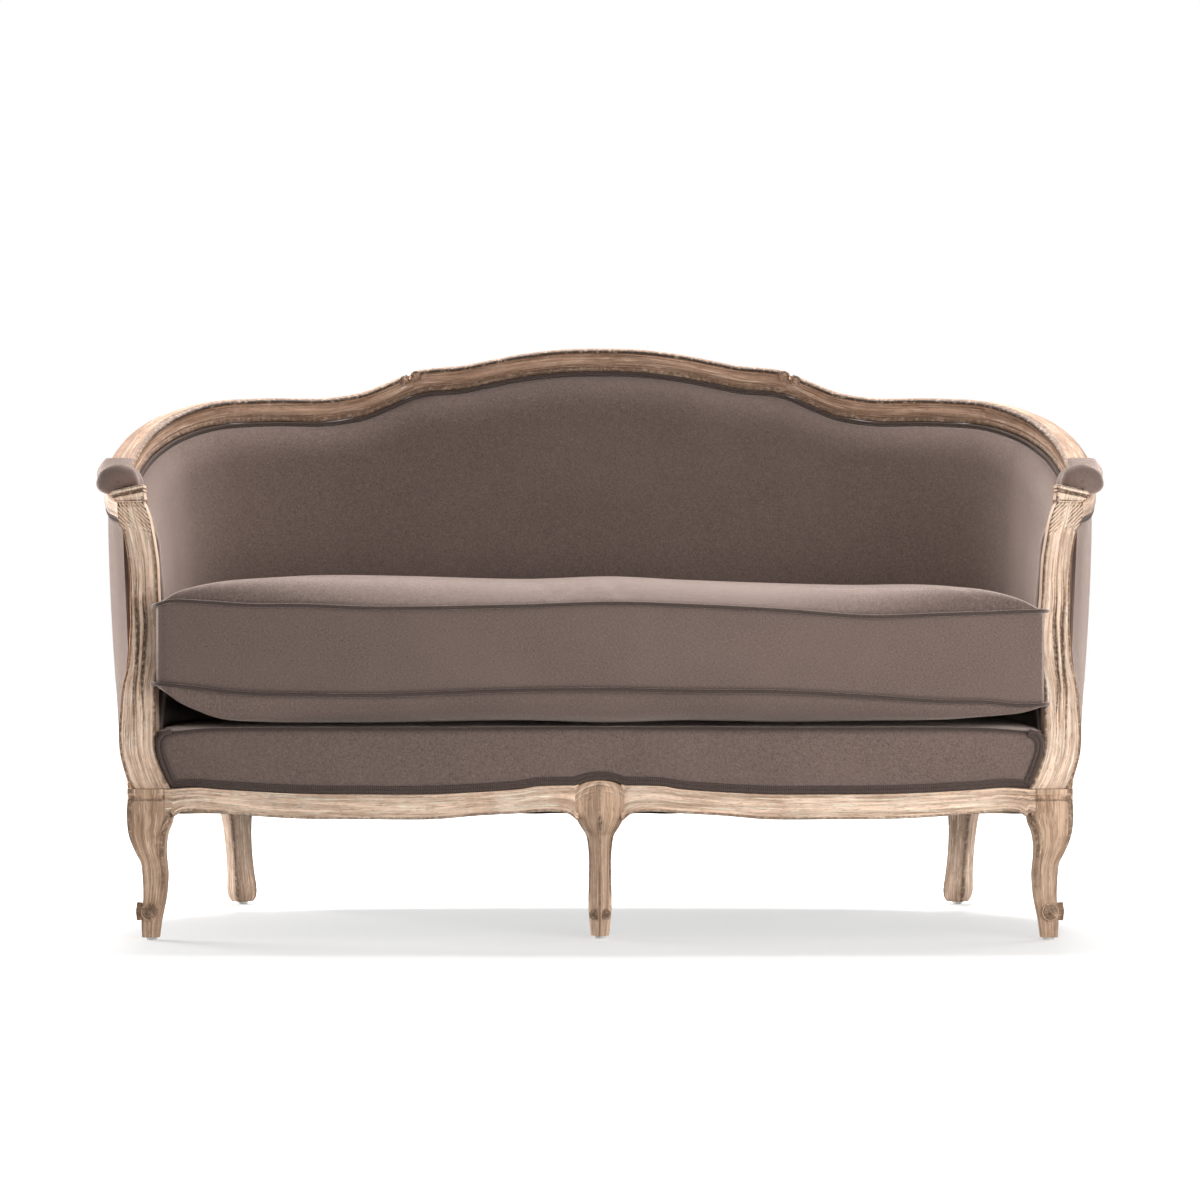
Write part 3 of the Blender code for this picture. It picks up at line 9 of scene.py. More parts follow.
import bpy
import numpy as np
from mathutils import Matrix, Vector


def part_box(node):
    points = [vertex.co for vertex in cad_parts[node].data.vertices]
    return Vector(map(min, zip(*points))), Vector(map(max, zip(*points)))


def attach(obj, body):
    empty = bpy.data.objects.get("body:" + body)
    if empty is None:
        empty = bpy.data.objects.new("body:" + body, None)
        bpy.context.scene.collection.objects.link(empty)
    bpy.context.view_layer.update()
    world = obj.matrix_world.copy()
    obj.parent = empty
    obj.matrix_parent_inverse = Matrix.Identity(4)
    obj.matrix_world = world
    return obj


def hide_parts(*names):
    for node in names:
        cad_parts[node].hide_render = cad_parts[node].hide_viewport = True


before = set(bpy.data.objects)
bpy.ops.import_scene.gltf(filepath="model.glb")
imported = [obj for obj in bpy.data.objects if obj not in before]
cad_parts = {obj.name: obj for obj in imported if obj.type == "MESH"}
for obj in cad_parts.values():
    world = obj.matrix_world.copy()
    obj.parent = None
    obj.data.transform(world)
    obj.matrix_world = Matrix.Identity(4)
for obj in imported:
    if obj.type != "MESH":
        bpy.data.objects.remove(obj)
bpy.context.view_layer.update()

# ---------------------------------------------------------------- sizes, as in the CAD source
HALF_WIDTH, HALF_DEPTH = 0.7365, 0.360
CREST_TOP, SHOULDER_TOP, ARM_TOP = 0.878, 0.796, 0.632
RAIL_WIDE, ARM_RAIL_TALL, CREST_RAIL_TALL = 0.042, 0.030, 0.037
SEAT_RAIL_TOP = 0.224
FRONT_RAIL_TOP, FRONT_RAIL_TALL, FRONT_WAVE, FRONT_BOW, FRONT_SET_BACK = 0.210, 0.036, 0.012, 0.016, 0.024
CENTRE_ARCH_RISE = 0.0196
FRONT_LEG_WIDE, CENTRE_LEG_WIDE = 0.064, 0.072
REAR_LEG_WIDE, REAR_LEG_DEEP, REAR_LEG_KICK = 0.046, 0.040, 0.122
POST_WIDE, POST_DEEP, POST_CAP_TOP, POST_TILT = 0.056, 0.050, 0.648, 0.27
DECK_TOP = 0.305
FIT = 0.0003
GLIDE_THICK = 0.004
STATION_PITCH = 0.0775  # metres from one station to the next, near the arm posts
SIDES = ((-1, "left"), (1, "right"))
UP = np.array([0, 0, 1.0])
# The shell's top from the right arm post to the middle of the back: shares of half the width and half the depth, how
# far it has risen from the arms to the shoulders, and how far from there to the crest
RAIL = (
    (0.953, -0.588, 0.000, 0.000), (0.983, -0.430, 0.080, 0.000), (1.000, -0.250, 0.220, 0.000),
    (0.997, -0.056, 0.427, 0.000), (0.974, 0.167, 0.640, 0.000), (0.927, 0.384, 0.817, 0.000),
    (0.845, 0.582, 0.951, 0.000), (0.727, 0.744, 1.000, 0.000), (0.611, 0.851, 1.000, 0.012),
    (0.526, 0.905, 1.000, 0.122), (0.460, 0.937, 1.000, 0.341), (0.407, 0.955, 1.000, 0.537),
    (0.367, 0.964, 1.000, 0.610), (0.300, 0.977, 1.000, 0.665), (0.236, 0.986, 1.000, 0.780),
    (0.171, 0.993, 1.000, 0.890), (0.086, 0.998, 1.000, 0.980), (0.000, 1.000, 1.000, 1.000),
)
# The shell's foot at the same stations: shares of half the width and half the depth
BASE = (
    (0.937, -0.789), (0.951, -0.575), (0.959, -0.350), (0.958, -0.130), (0.940, 0.083), (0.902, 0.283), (0.831, 0.472),
    (0.720, 0.631), (0.607, 0.728), (0.523, 0.768), (0.458, 0.789), (0.406, 0.803), (0.366, 0.811), (0.300, 0.821),
    (0.236, 0.828), (0.171, 0.831), (0.086, 0.833), (0.000, 0.834),
)
ARM_END = 17.0
KNUCKLE, CORNER, REAR_LEG_STATION = 6.0, 11.0, 10.55
# The front rail's top and foot: share of half the width, and the rise in waves
FRONT_TOP = (
    (0.045, 0.95), (0.057, 1.00), (0.121, 0.92), (0.156, 0.58), (0.236, 0.25), (0.325, 0.00), (0.444, 0.00),
    (0.583, 0.08), (0.724, 0.50), (0.785, 0.75), (0.834, 0.58),
)
FRONT_FOOT = (
    (0.045, -0.20), (0.060, 0.55), (0.088, 0.83), (0.121, 0.83), (0.156, 0.67), (0.236, 0.42), (0.325, 0.00),
    (0.444, 0.00), (0.583, 0.08), (0.699, 0.50), (0.748, 0.75), (0.797, 0.92), (0.818, 0.60), (0.834, -0.20),
)
# Arm post: share of the height, its middle as a share of half the width, and shares of its width and depth
POST = (
    (0.000, 0.870, 1.00, 1.00), (0.030, 0.879, 1.00, 1.02), (0.070, 0.888, 0.98, 1.03), (0.125, 0.897, 0.95, 1.04),
    (0.209, 0.899, 0.95, 1.04), (0.328, 0.896, 0.82, 0.96), (0.414, 0.887, 0.73, 0.88), (0.508, 0.882, 0.66, 0.82),
    (0.634, 0.891, 0.68, 0.80), (0.753, 0.898, 0.73, 0.80), (0.846, 0.908, 0.75, 0.82), (0.895, 0.916, 0.80, 0.86),
    (0.950, 0.923, 0.71, 0.90), (1.000, 0.930, 0.71, 0.92),
)
# Corner leg: share of the height, share of its width, and how far it stands in from the corner, in widths
LEG = (
    (0.000, 0.391, 0.320), (0.040, 0.414, 0.305), (0.110, 0.453, 0.273), (0.190, 0.500, 0.219), (0.250, 0.516, 0.180),
    (0.330, 0.547, 0.148), (0.420, 0.578, 0.133), (0.500, 0.591, 0.152), (0.570, 0.680, 0.164), (0.640, 0.790, 0.148),
    (0.710, 0.898, 0.102), (0.780, 1.008, 0.016), (0.850, 1.030, 0.000), (0.920, 1.015, 0.000), (1.000, 1.000, 0.000),
)
# Centre leg: share of the height, share of its width, and how far back it stands, in widths
CENTRE_LEG = (
    (0.000, 0.361, 0.200), (0.100, 0.430, 0.190), (0.210, 0.470, 0.190), (0.320, 0.460, 0.250), (0.400, 0.450, 0.270),
    (0.520, 0.455, 0.240), (0.640, 0.545, 0.150), (0.700, 0.680, 0.060), (0.780, 0.900, 0.000), (0.870, 0.950, 0.000),
    (0.930, 0.920, 0.000), (0.965, 0.780, 0.000), (0.990, 0.500, 0.000), (1.000, 0.160, 0.000),
)
# A front leg's section, in shares of half its width along its two faces, starting at the arris
LEG_SECTION = (
    (1.00, 0.86), (0.86, 1.00), (0.25, 1.00), (-0.45, 0.96), (-0.84, 0.78), (-0.96, 0.30), (-0.93, -0.35),
    (-0.70, -0.70), (-0.35, -0.93), (0.30, -0.96), (0.78, -0.84), (0.96, -0.45), (1.00, 0.25),
)
# Rear leg: share of the height, share of the kick backward, and share of its width
REAR_LEG = (
    (0.000, 1.00, 0.62), (0.030, 1.00, 0.78), (0.090, 0.93, 0.86), (0.200, 0.78, 0.80), (0.340, 0.56, 0.76),
    (0.480, 0.35, 0.78), (0.620, 0.16, 0.86), (0.700, 0.05, 0.95), (0.780, 0.00, 1.00), (1.000, 0.00, 1.00),
)


# ---------------------------------------------------------------- curves
def curve(rows, keys):
    """The rows of a table at any values of its first column, on a smooth curve through its rows."""
    rows = np.array(rows, float)
    xs, ys = rows[:, 0], rows[:, 1:]
    keys = np.clip(np.asarray(keys, float), xs[0], xs[-1])
    slopes = np.zeros_like(ys)
    slopes[1:-1] = (ys[2:] - ys[:-2]) / (xs[2:] - xs[:-2])[:, None]
    slopes[0] = (ys[1] - ys[0]) / (xs[1] - xs[0])
    slopes[-1] = (ys[-1] - ys[-2]) / (xs[-1] - xs[-2])
    at = np.clip(np.searchsorted(xs, keys, side="right") - 1, 0, len(xs) - 2)
    gap = (xs[at + 1] - xs[at])[..., None]
    t = ((keys - xs[at])[..., None]) / gap
    return (
        (2 * t**3 - 3 * t**2 + 1) * ys[at]
        + (t**3 - 2 * t**2 + t) * gap * slopes[at]
        + (3 * t**2 - 2 * t**3) * ys[at + 1]
        + (t**3 - t**2) * gap * slopes[at + 1]
    )


def spline(a, b, c, d, t):
    """A place between b and c on the smooth line through four points."""
    return 0.5 * (2 * b + (c - a) * t + (2 * a - 5 * b + 4 * c - d) * t**2 + (3 * b - a - 3 * c + d) * t**3)


def through(points, per_span, closed=False):
    """A smooth line through points, this many steps to a span. A point given twice is a corner."""
    points = [np.array(p, float) for p in points]
    count = len(points)
    line = []
    for index in range(count if closed else count - 1):
        b, c = points[index], points[(index + 1) % count]
        a = points[index - 1] if closed or index else b
        d = points[(index + 2) % count] if closed or index + 2 < count else c
        if np.allclose(b, c):
            continue
        for step in range(per_span):
            t = step / per_span
            line.append(spline(a, b, c, d, t))
    if not closed:
        line.append(points[-1])
    return np.array(line)


def smooth(low, high, value):
    """0 up to low and 1 from high on, or the other way round where low is the higher one."""
    t = np.clip((np.asarray(value, float) - low) / (high - low), 0, 1)
    return t * t * (3 - 2 * t)


def groove(value, centre, half):
    """1 at the centre of a groove, 0 beyond half its width."""
    away = np.clip(np.abs(np.asarray(value, float) - centre) / half, 0, 1)
    return (1 - away**2) ** 2


def unit(vectors):
    return vectors / np.linalg.norm(vectors, axis=-1)[..., None]


def column(count, value):
    return np.full((count, 1), value)


def lifted(plan, height=0.0):
    """Places or directions in plan, with a height for all of them."""
    return np.concatenate([plan, column(len(plan), height)], 1)


def round_turns(count):
    """Angles once round."""
    return np.linspace(0, math.tau, count + 1)[:-1]


def resample(line, count):
    """The line with its points evenly spaced."""
    run = np.append(0, np.cumsum(np.linalg.norm(np.diff(line, axis=0), axis=1)))
    return np.stack([np.interp(np.linspace(0, run[-1], count), run, line[:, k]) for k in range(line.shape[1])], -1)


# ---------------------------------------------------------------- the shell
def shell_rows(rows, stations):
    """A table's rows at stations, on a smooth line that mirrors itself in the middle of the back."""
    rows = np.array(rows, float)
    before, beyond = 2 * rows[0] - rows[1], rows[-2].copy()
    before[0], beyond[0] = rows[1][0], -rows[-2][0]
    padded = np.vstack([before, rows, beyond])
    away = ARM_END - np.abs(np.asarray(stations, float))
    index = np.clip(away.astype(int), 0, len(rows) - 2)
    t = (away - index)[:, None]
    a, b, c, d = (padded[index + step] for step in range(4))
    return spline(a, b, c, d, t)


def shell_edge(rows, stations):
    """Points in plan."""
    made = shell_rows(rows, stations)
    side = np.where(np.asarray(stations) < 0, -1.0, 1.0)
    return np.stack([side * made[:, 0] * HALF_WIDTH, made[:, 1] * HALF_DEPTH], -1)


def shell_outward(rows, stations):
    """Outward in plan. The shell ends square to the sides at the arm posts, over its last half station."""
    stations = np.asarray(stations, float)
    inner = np.clip(stations, 0.5 - ARM_END, ARM_END - 0.5)
    run = shell_edge(rows, inner + 1e-3) - shell_edge(rows, inner - 1e-3)
    out = unit(np.stack([-run[:, 1], run[:, 0]], -1))
    side = np.sign(stations)[:, None] * np.array([1.0, 0.0])
    end = np.clip((np.abs(stations) - (ARM_END - 0.5)) / 0.5, 0, 1)[:, None]
    return unit(out * (1 - end) + side * end)


class Shell:
    """The shell at a row of stations."""

    def __init__(self, stations):
        self.stations = np.asarray(stations, float)
        self.low, self.out_low = shell_edge(BASE, self.stations), shell_outward(BASE, self.stations)
        self.high, self.out_high = shell_edge(RAIL, self.stations), shell_outward(RAIL, self.stations)
        rows = shell_rows(RAIL, self.stations)
        self.top = ARM_TOP + (SHOULDER_TOP - ARM_TOP) * rows[:, 2] + (CREST_TOP - SHOULDER_TOP) * rows[:, 3]
        self.tall = ARM_RAIL_TALL + (CREST_RAIL_TALL - ARM_RAIL_TALL) * rows[:, 2]
        self.foot = self.top - self.tall

    def points(self, inward, height):
        """Points at depths and heights, each one row to a station."""
        count = len(self.stations)
        inward, height = (np.asarray(given, float).reshape(-1, np.shape(given)[-1]) for given in (inward, height))
        inward, height = np.broadcast_arrays(inward, height)
        inward = np.broadcast_to(inward, (count, inward.shape[1]))
        height = np.broadcast_to(height, (count, height.shape[1]))
        share = np.clip((height - SEAT_RAIL_TOP) / (self.foot[:, None] - SEAT_RAIL_TOP), 0, 1)[..., None]
        low = self.low[:, None] - self.out_low[:, None] * inward[..., None]
        high = self.high[:, None] - self.out_high[:, None] * inward[..., None]
        return np.concatenate([low * (1 - share) + high * share, height[..., None]], -1)


def stations_between(start, end, step=0.0045):
    """Stations from start to end, a step in metres apart."""
    probe = np.linspace(start, end, 60)
    line = shell_edge(RAIL, probe)
    length = np.linalg.norm(np.diff(line, axis=0), axis=1).sum()
    return np.linspace(start, end, max(3, int(length / step)))


# ---------------------------------------------------------------- meshes
def distances(points, axis, closed):
    """Metres along one way of a grid of points."""
    following = np.roll(points, -1, axis=axis) if closed else points
    gaps = np.linalg.norm((following - points) if closed else np.diff(points, axis=axis), axis=-1)
    pad = [(1, 0), (0, 0)] if axis == 0 else [(0, 0), (1, 0)]
    return np.cumsum(np.pad(gaps, pad), axis=axis)


def blur(points, axis, reach, closed):
    """Each point's mean with its neighbours within a reach, one way of the grid."""
    run = distances(points, axis, closed).mean(axis=1 - axis)
    count = points.shape[axis]
    total, run = run[-1], run[:count]
    away = np.abs(run[:, None] - run[None, :])
    if closed:
        away = np.minimum(away, total - away)
    weights = np.exp(-((away / reach) ** 2))
    weights /= weights.sum(axis=1)[:, None]
    return np.tensordot(weights, points, axes=(1, axis)) if axis == 0 else np.einsum("jk,ikc->ijc", weights, points)


def grid_normals(points, closed):
    def run(axis):
        if closed[axis]:
            return np.roll(points, -1, axis=axis) - np.roll(points, 1, axis=axis)
        return np.gradient(points, axis=axis)

    normals = np.cross(run(0), run(1))
    size = np.linalg.norm(normals, axis=-1)[..., None]
    return normals / np.maximum(size, 1e-12)


SEEDS = iter(range(1, 10000))


def part(points, look, closed=(False, True), caps=(True, True), is_cloth=False, reach=0.004, extra=None, after=None):
    """A surface through a grid of points, with the way its threads or grain lie and how hollow each place is. The grain
    carries on from the part that it comes after."""
    points = np.asarray(points, float)
    rows, columns = points.shape[:2]
    normals = grid_normals(points, closed)
    along, around = distances(points, 0, closed[0]), distances(points, 1, closed[1])
    if closed[1]:
        along = np.concatenate([along, along[:, :1]], axis=1)
    if closed[0]:
        around = np.concatenate([around, around[:1]], axis=0)
    if not is_cloth:
        along = np.broadcast_to(along.mean(axis=1)[:, None], along.shape)
        around = np.broadcast_to(around.mean(axis=0)[None, :], around.shape)
    seed, start = (after["seed"], after["end"]) if after else (next(SEEDS) * 0.37, 0.0)
    lay = np.stack([along + start, around, np.full(along.shape, seed)], -1)
    i, j = np.meshgrid(
        np.arange(rows if closed[0] else rows - 1), np.arange(columns if closed[1] else columns - 1), indexing="ij"
    )
    i, j = i.ravel(), j.ravel()
    i2, j2 = (i + 1) % rows, (j + 1) % columns
    quads = np.stack([i * columns + j, i * columns + j2, i2 * columns + j2, i2 * columns + j], -1)
    quad_lay = np.stack([lay[i, j], lay[i, j + 1], lay[i + 1, j + 1], lay[i + 1, j]], 1)
    verts = points.reshape(-1, 3)
    corners = verts[quads] - verts.mean(axis=0)
    volume = np.einsum("ij,ij->", corners[:, 0], np.cross(corners[:, 1], corners[:, 2]))
    volume += np.einsum("ij,ij->", corners[:, 0], np.cross(corners[:, 2], corners[:, 3]))
    turned = volume < 0
    soft = blur(blur(points, 0, reach, closed[0]), 1, reach, closed[1])
    hollow = np.einsum("ijk,ijk->ij", soft - points, normals) / reach * (-1 if turned else 1)
    hollow = np.clip(hollow, -0.3, 0.3)
    if extra is not None:
        hollow = hollow + extra
    hollow = hollow.reshape(-1).tolist()
    faces, face_lay = quads.tolist(), quad_lay.tolist()
    verts = verts.tolist()
    if closed[1] and not closed[0]:
        for is_capped, row, step in ((caps[0], 0, -1), (caps[1], rows - 1, 1)):
            if not is_capped:
                continue
            verts.append(points[row].mean(axis=0).tolist())
            hollow.append(0.0)
            for column in range(columns):
                pair = [row * columns + column, row * columns + (column + 1) % columns]
                faces.append([len(verts) - 1] + pair[::step])
                face_lay.append([lay[row, column] + [0, 0.003 * (k % 2), 0] for k in range(3)])
    if turned:
        faces = [face[::-1] for face in faces]
        face_lay = [side[::-1] for side in face_lay]
    end = start + float(along[-1].mean())
    return {"verts": verts, "faces": faces, "lay": face_lay, "hollow": hollow, "look": look, "seed": seed, "end": end}


def mesh_object(name, verts, faces, lay, hollow, looks):
    """A smooth object with the two attributes that its materials read."""
    mesh = bpy.data.meshes.new(name)
    mesh.from_pydata(verts, [], faces)
    laid = mesh.attributes.new("lay", "FLOAT_VECTOR", "CORNER")
    laid.data.foreach_set("vector", np.array(lay, np.float32).ravel())
    hollows = mesh.attributes.new("hollow", "FLOAT", "POINT")
    hollows.data.foreach_set("value", np.array(hollow, np.float32))
    mesh.shade_smooth()
    for look in looks:
        mesh.materials.append(LOOKS[look])
    item = bpy.data.objects.new(name, mesh)
    bpy.context.scene.collection.objects.link(item)
    return item


def piece(name, parts, replaces, body="frame", angle=40):
    """An object made of parts, riding on a body in place of CAD nodes."""
    verts, faces, lay, hollow, looks, index = [], [], [], [], [], []
    for item in parts:
        start = len(verts)
        verts += item["verts"]
        faces += [[corner + start for corner in face] for face in item["faces"]]
        lay += [list(value) for side in item["lay"] for value in side]
        hollow += item["hollow"]
        if item["look"] not in looks:
            looks.append(item["look"])
        index += [looks.index(item["look"])] * len(item["faces"])
    item = mesh_object(name, verts, faces, lay, hollow, looks)
    item.data.polygons.foreach_set("material_index", index)
    item.data.set_sharp_from_angle(angle=math.radians(angle))
    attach(item, body)
    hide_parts(*replaces)
    return item


# ---------------------------------------------------------------- materials
class Nodes:
    """Short names for making a material's nodes."""

    def __init__(self, name):
        self.material = bpy.data.materials.new(name)
        self.material.use_nodes = True
        self.tree = self.material.node_tree

    def put(self, socket, value):
        if isinstance(value, bpy.types.NodeSocket):
            self.tree.links.new(value, socket)
        else:
            socket.default_value = value

    def new(self, kind, output, given=None, **settings):
        """An output of a new node, whose inputs are given by name or number."""
        node = self.tree.nodes.new(kind)
        for key, value in settings.items():
            setattr(node, key, value)
        for name, value in (given or {}).items():
            self.put(node.inputs[name], value)
        return node.outputs[output]

    def attribute(self, name, output):
        return self.new("ShaderNodeAttribute", output, attribute_name=name, attribute_type="GEOMETRY")

    def place(self):
        return self.new("ShaderNodeTexCoord", "Object")

    def math(self, operation, *values):
        return self.new("ShaderNodeMath", 0, dict(enumerate(values)), operation=operation)

    def product(self, first, *others):
        for value in others:
            first = self.math("MULTIPLY", first, value)
        return first

    def noise(self, vector, scale, detail=3.0, roughness=0.55, distortion=0.0):
        """Noise. A scale with a number for each axis draws it out."""
        if isinstance(scale, tuple):
            vector, scale = self.new("ShaderNodeVectorMath", 0, {0: vector, 1: scale}, operation="MULTIPLY"), 1.0
        given = {"Vector": vector, "Scale": scale, "Detail": detail, "Roughness": roughness, "Distortion": distortion}
        return self.new("ShaderNodeTexNoise", "Fac", given)

    def band(self, value, low, high, start=0.0, end=1.0):
        """start up to low, end from high on, and a smooth slope between them."""
        given = {"Value": value, "From Min": low, "From Max": high, "To Min": start, "To Max": end}
        return self.new("ShaderNodeMapRange", "Result", given, interpolation_type="SMOOTHSTEP")

    def mix(self, share, a, b):
        a, b = (tint if isinstance(tint, bpy.types.NodeSocket) else (*tint, 1.0) for tint in (a, b))
        return self.new("ShaderNodeMix", 2, {0: share, 6: a, 7: b}, data_type="RGBA")

    def layered(self, colour, layers):
        """A colour under layers, each of them a share and the colour that covers it."""
        for share, tint in layers:
            colour = self.mix(share, colour, tint)
        return colour

    def bump(self, height, distance):
        return self.new("ShaderNodeBump", "Normal", {"Height": height, "Distance": distance, "Strength": 0.5})

    def surface(self, given):
        """The material, with values and links on its shader's own sockets."""
        shader = self.tree.nodes["Principled BSDF"]
        for name, value in given.items():
            self.put(shader.inputs[name], value)
        return self.material


def shade(colour, *factors):
    """A colour times one factor, or times three."""
    return tuple(min(1, c * factor) for c, factor in zip(colour, factors * (3 // len(factors))))


def oak(name, wood, lime, pale, dirt):
    """Limed oak: open grain in short dashes along its length, dirt and lime in the carving with painted shade in its
    deepest cuts, warm wood on the edges.
    pale says how much of the lime is left on the flat. A hollow below -0.4 is a place with lime packed in."""
    n = Nodes(name)
    lay, hollow, place = n.attribute("lay", "Vector"), n.attribute("hollow", "Fac"), n.place()
    streaks = n.noise(lay, (7.0, 150.0, 1.0), 5.0, 0.65, 0.5)
    lines = n.noise(lay, (17.0, 430.0, 2.0), 3.0, 0.6, 0.3)
    fine, short = n.noise(lay, (55.0, 1300.0, 1.0), 2.0), n.noise(lay, (110.0, 600.0, 1.0), 2.0)
    cloud, blotch = n.noise(place, 14.0, 4.0, 0.6), n.noise(place, 45.0, 3.0, 0.6)
    worn = n.noise(place, 160.0, 3.0, 0.7)
    pores = n.product(n.band(fine, 0.56, 0.64), n.band(short, 0.46, 0.58))
    layers = (
        # lime left on the flat, and dark blotches
        (n.band(cloud, 0.42, 0.72, 0.0, pale), lime),
        (n.band(blotch, 0.48, 0.70, 0.0, 0.38), shade(wood, 0.56, 0.47, 0.41)),
        # pale and dark lines of the grain, and flecks of lime
        (n.band(lines, 0.57, 0.66, 0.0, 0.55), shade(lime, 1.45)),
        (n.band(lines, 0.43, 0.34, 0.0, 0.55), shade(wood, 0.46, 0.38, 0.32)),
        (n.product(n.band(fine, 0.40, 0.33), n.band(blotch, 0.35, 0.6), 0.35), lime),
        # brown dirt and some lime in the hollows, bare wood on the edges, and open pores
        (n.product(n.band(hollow, 0.035, 0.15), n.band(worn, 0.66, 0.38, 0.45, 1.0), dirt), (0.105, 0.062, 0.038)),
        (n.product(n.band(hollow, 0.05, 0.12), n.band(worn, 0.56, 0.66), 0.26), (0.66, 0.55, 0.44)),
        (n.product(n.band(hollow, -0.04, -0.16), n.band(blotch, 0.3, 0.6), 0.35), shade(wood, 1.25)),
        (n.product(pores, 0.62), (0.12, 0.068, 0.042)),
        # painted shade, near black, in the deepest cuts, and cream where lime is packed in
        (n.product(n.band(hollow, 0.22, 0.40), n.band(worn, 0.70, 0.50), 0.92), (0.022, 0.014, 0.010)),
        (n.product(n.band(hollow, -0.36, -0.50), n.band(worn, 0.34, 0.50), 0.85), (0.80, 0.72, 0.62)),
    )
    bare = n.mix(n.band(streaks, 0.36, 0.64), shade(wood, 0.62, 0.57, 0.53), shade(wood, 1.22))
    return n.surface(
        {
            "Base Color": n.layered(bare, layers),
            "Roughness": n.band(streaks, 0.3, 0.7, 0.60, 0.78),
            "Specular IOR Level": 0.25,
            "Normal": n.bump(n.math("SUBTRACT", n.product(streaks, 0.5), pores), 0.0005),
        }
    )


THREAD_PITCH = 0.0009


def linen(name, base, sheen, stitch=0.0, contrast=1.0):
    """Plain-woven linen: fine threads both ways, some of them thicker, in a soft heather. stitch is the pitch of a line
    of stitches in its hollows."""
    n = Nodes(name)
    lay, hollow = n.attribute("lay", "Vector"), n.attribute("hollow", "Fac")
    along = n.new("ShaderNodeSeparateXYZ", 0, {0: lay})
    around = along.node.outputs[1]
    warp, weft = (n.noise(lay, scale, 2.0, 0.6) for scale in ((300.0, 1050.0, 1.0), (1050.0, 300.0, 1.0)))
    slubs = [n.band(n.noise(lay, scale, 1.0), 0.64, 0.72) for scale in ((300.0, 800.0, 1.0), (800.0, 300.0, 3.0))]
    cloud = n.noise(lay, 7.0, 4.0)
    light, dark = shade(base, 1 + 0.42 * contrast), shade(base, 1 - 0.30 * contrast)
    # painted shade for the seams and hollows, broken into stitches where there is a stitch pitch
    painted_hollow_shade = n.band(hollow, 0.04, 0.20)
    if stitch:
        wave = n.math("SINE", n.product(along, math.tau / stitch))
        painted_hollow_shade = n.product(painted_hollow_shade, n.band(wave, -0.2, 0.4, 0.35, 1.0))
    layers = (
        (n.band(weft, 0.38, 0.68, 0.0, 0.5), light),
        (n.product(n.math("MAXIMUM", *slubs), 0.30 * contrast), shade(base, 2.1)),
        (n.band(cloud, 0.35, 0.7, 0.0, 0.16), light),
        # paler on the rounded edges, partly rubbed wear and partly a painted sheen highlight, and painted shade, dark,
        # in the seams and hollows
        (n.band(hollow, -0.05, -0.25, 0.0, 0.35), shade(base, 2.2)),
        (n.product(painted_hollow_shade, 0.7), shade(base, 0.18)),
    )
    over, under = (n.math("SINE", n.product(way, math.tau / THREAD_PITCH)) for way in (along, around))
    threads = n.math("ADD", n.product(over, under, 0.5), n.math("ADD", warp, weft))
    return n.surface(
        {
            "Base Color": n.layered(n.mix(n.band(warp, 0.35, 0.65), dark, base), layers),
            "Roughness": 0.93,
            "Specular IOR Level": 0.12,
            "Sheen Weight": sheen,
            "Sheen Roughness": 0.35,
            "Sheen Tint": (1.0, 0.82, 0.73, 1.0),
            "Normal": n.bump(threads, 0.0004),
        }
    )


def plain_wood(name, wood):
    """Sawn beech of the hidden frame."""
    n = Nodes(name)
    place = n.place()
    streaks = n.noise(place, (30.0, 30.0, 220.0), 4.0)
    flecks = n.band(n.noise(place, (220.0, 220.0, 900.0), 2.0), 0.58, 0.68)
    colour = n.mix(n.band(streaks, 0.3, 0.7), shade(wood, 0.75), wood)
    return n.surface(
        {
            "Base Color": n.mix(n.product(flecks, 0.4), colour, shade(wood, 0.5)),
            "Roughness": n.band(streaks, 0.3, 0.7, 0.65, 0.85),
            "Normal": n.bump(streaks, 0.0008),
        }
    )


def simple(name, colour, roughness, metallic=0.0, spread=0.12):
    """Moulded or drawn stuff with a fine uneven surface."""
    n = Nodes(name)
    grains = n.noise(n.place(), 400.0)
    return n.surface(
        {
            "Base Color": n.mix(n.band(grains, 0.3, 0.7), shade(colour, 1 - spread), shade(colour, 1 + spread)),
            "Roughness": n.band(grains, 0.3, 0.7, roughness * 0.85, min(1.0, roughness * 1.1)),
            "Metallic": metallic,
            "Normal": n.bump(grains, 0.0001),
        }
    )


LINEN = (0.176, 0.127, 0.110)
# The wood, the lime, how much of it is left on the flat, and how much dirt is in the hollows. The tones are set piece
# by piece to how light or dark each piece looks, so they are partly the oak's own tone and partly painted light and
# shade; the darker wood of the crest and the rear legs is painted shade.
OAKS = (
    ("crest", (0.47, 0.305, 0.212), (0.66, 0.51, 0.39), 0.30, 0.8),
    ("post", (0.82, 0.610, 0.465), (0.88, 0.74, 0.61), 0.40, 0.9),
    ("front", (0.78, 0.575, 0.435), (0.84, 0.70, 0.57), 0.45, 0.7),
    ("leg", (0.54, 0.370, 0.258), (0.66, 0.49, 0.36), 0.35, 0.8),
    ("rear", (0.40, 0.283, 0.208), (0.62, 0.49, 0.37), 0.35, 0.8),
)
LOOKS = {name: oak(f"limed_oak_{name}", *tones) for name, *tones in OAKS}
LOOKS |= {
    "linen": linen("linen", LINEN, 0.9, contrast=1.25),
    "welt": linen("linen_welt", shade(LINEN, 0.78), 0.30, 0.0030),
    "frame_wood": plain_wood("frame_beech", (0.58, 0.43, 0.29)),
    "dust_cloth": linen("dust_cover_cloth", (0.030, 0.029, 0.029), 0.1),
    "steel": simple("spring_steel", (0.36, 0.36, 0.38), 0.42, 1.0),
    "nylon": simple("white_nylon", (0.80, 0.80, 0.77), 0.45, spread=0.03),
    "zip": simple("zip_teeth", (0.10, 0.085, 0.08), 0.5),
}
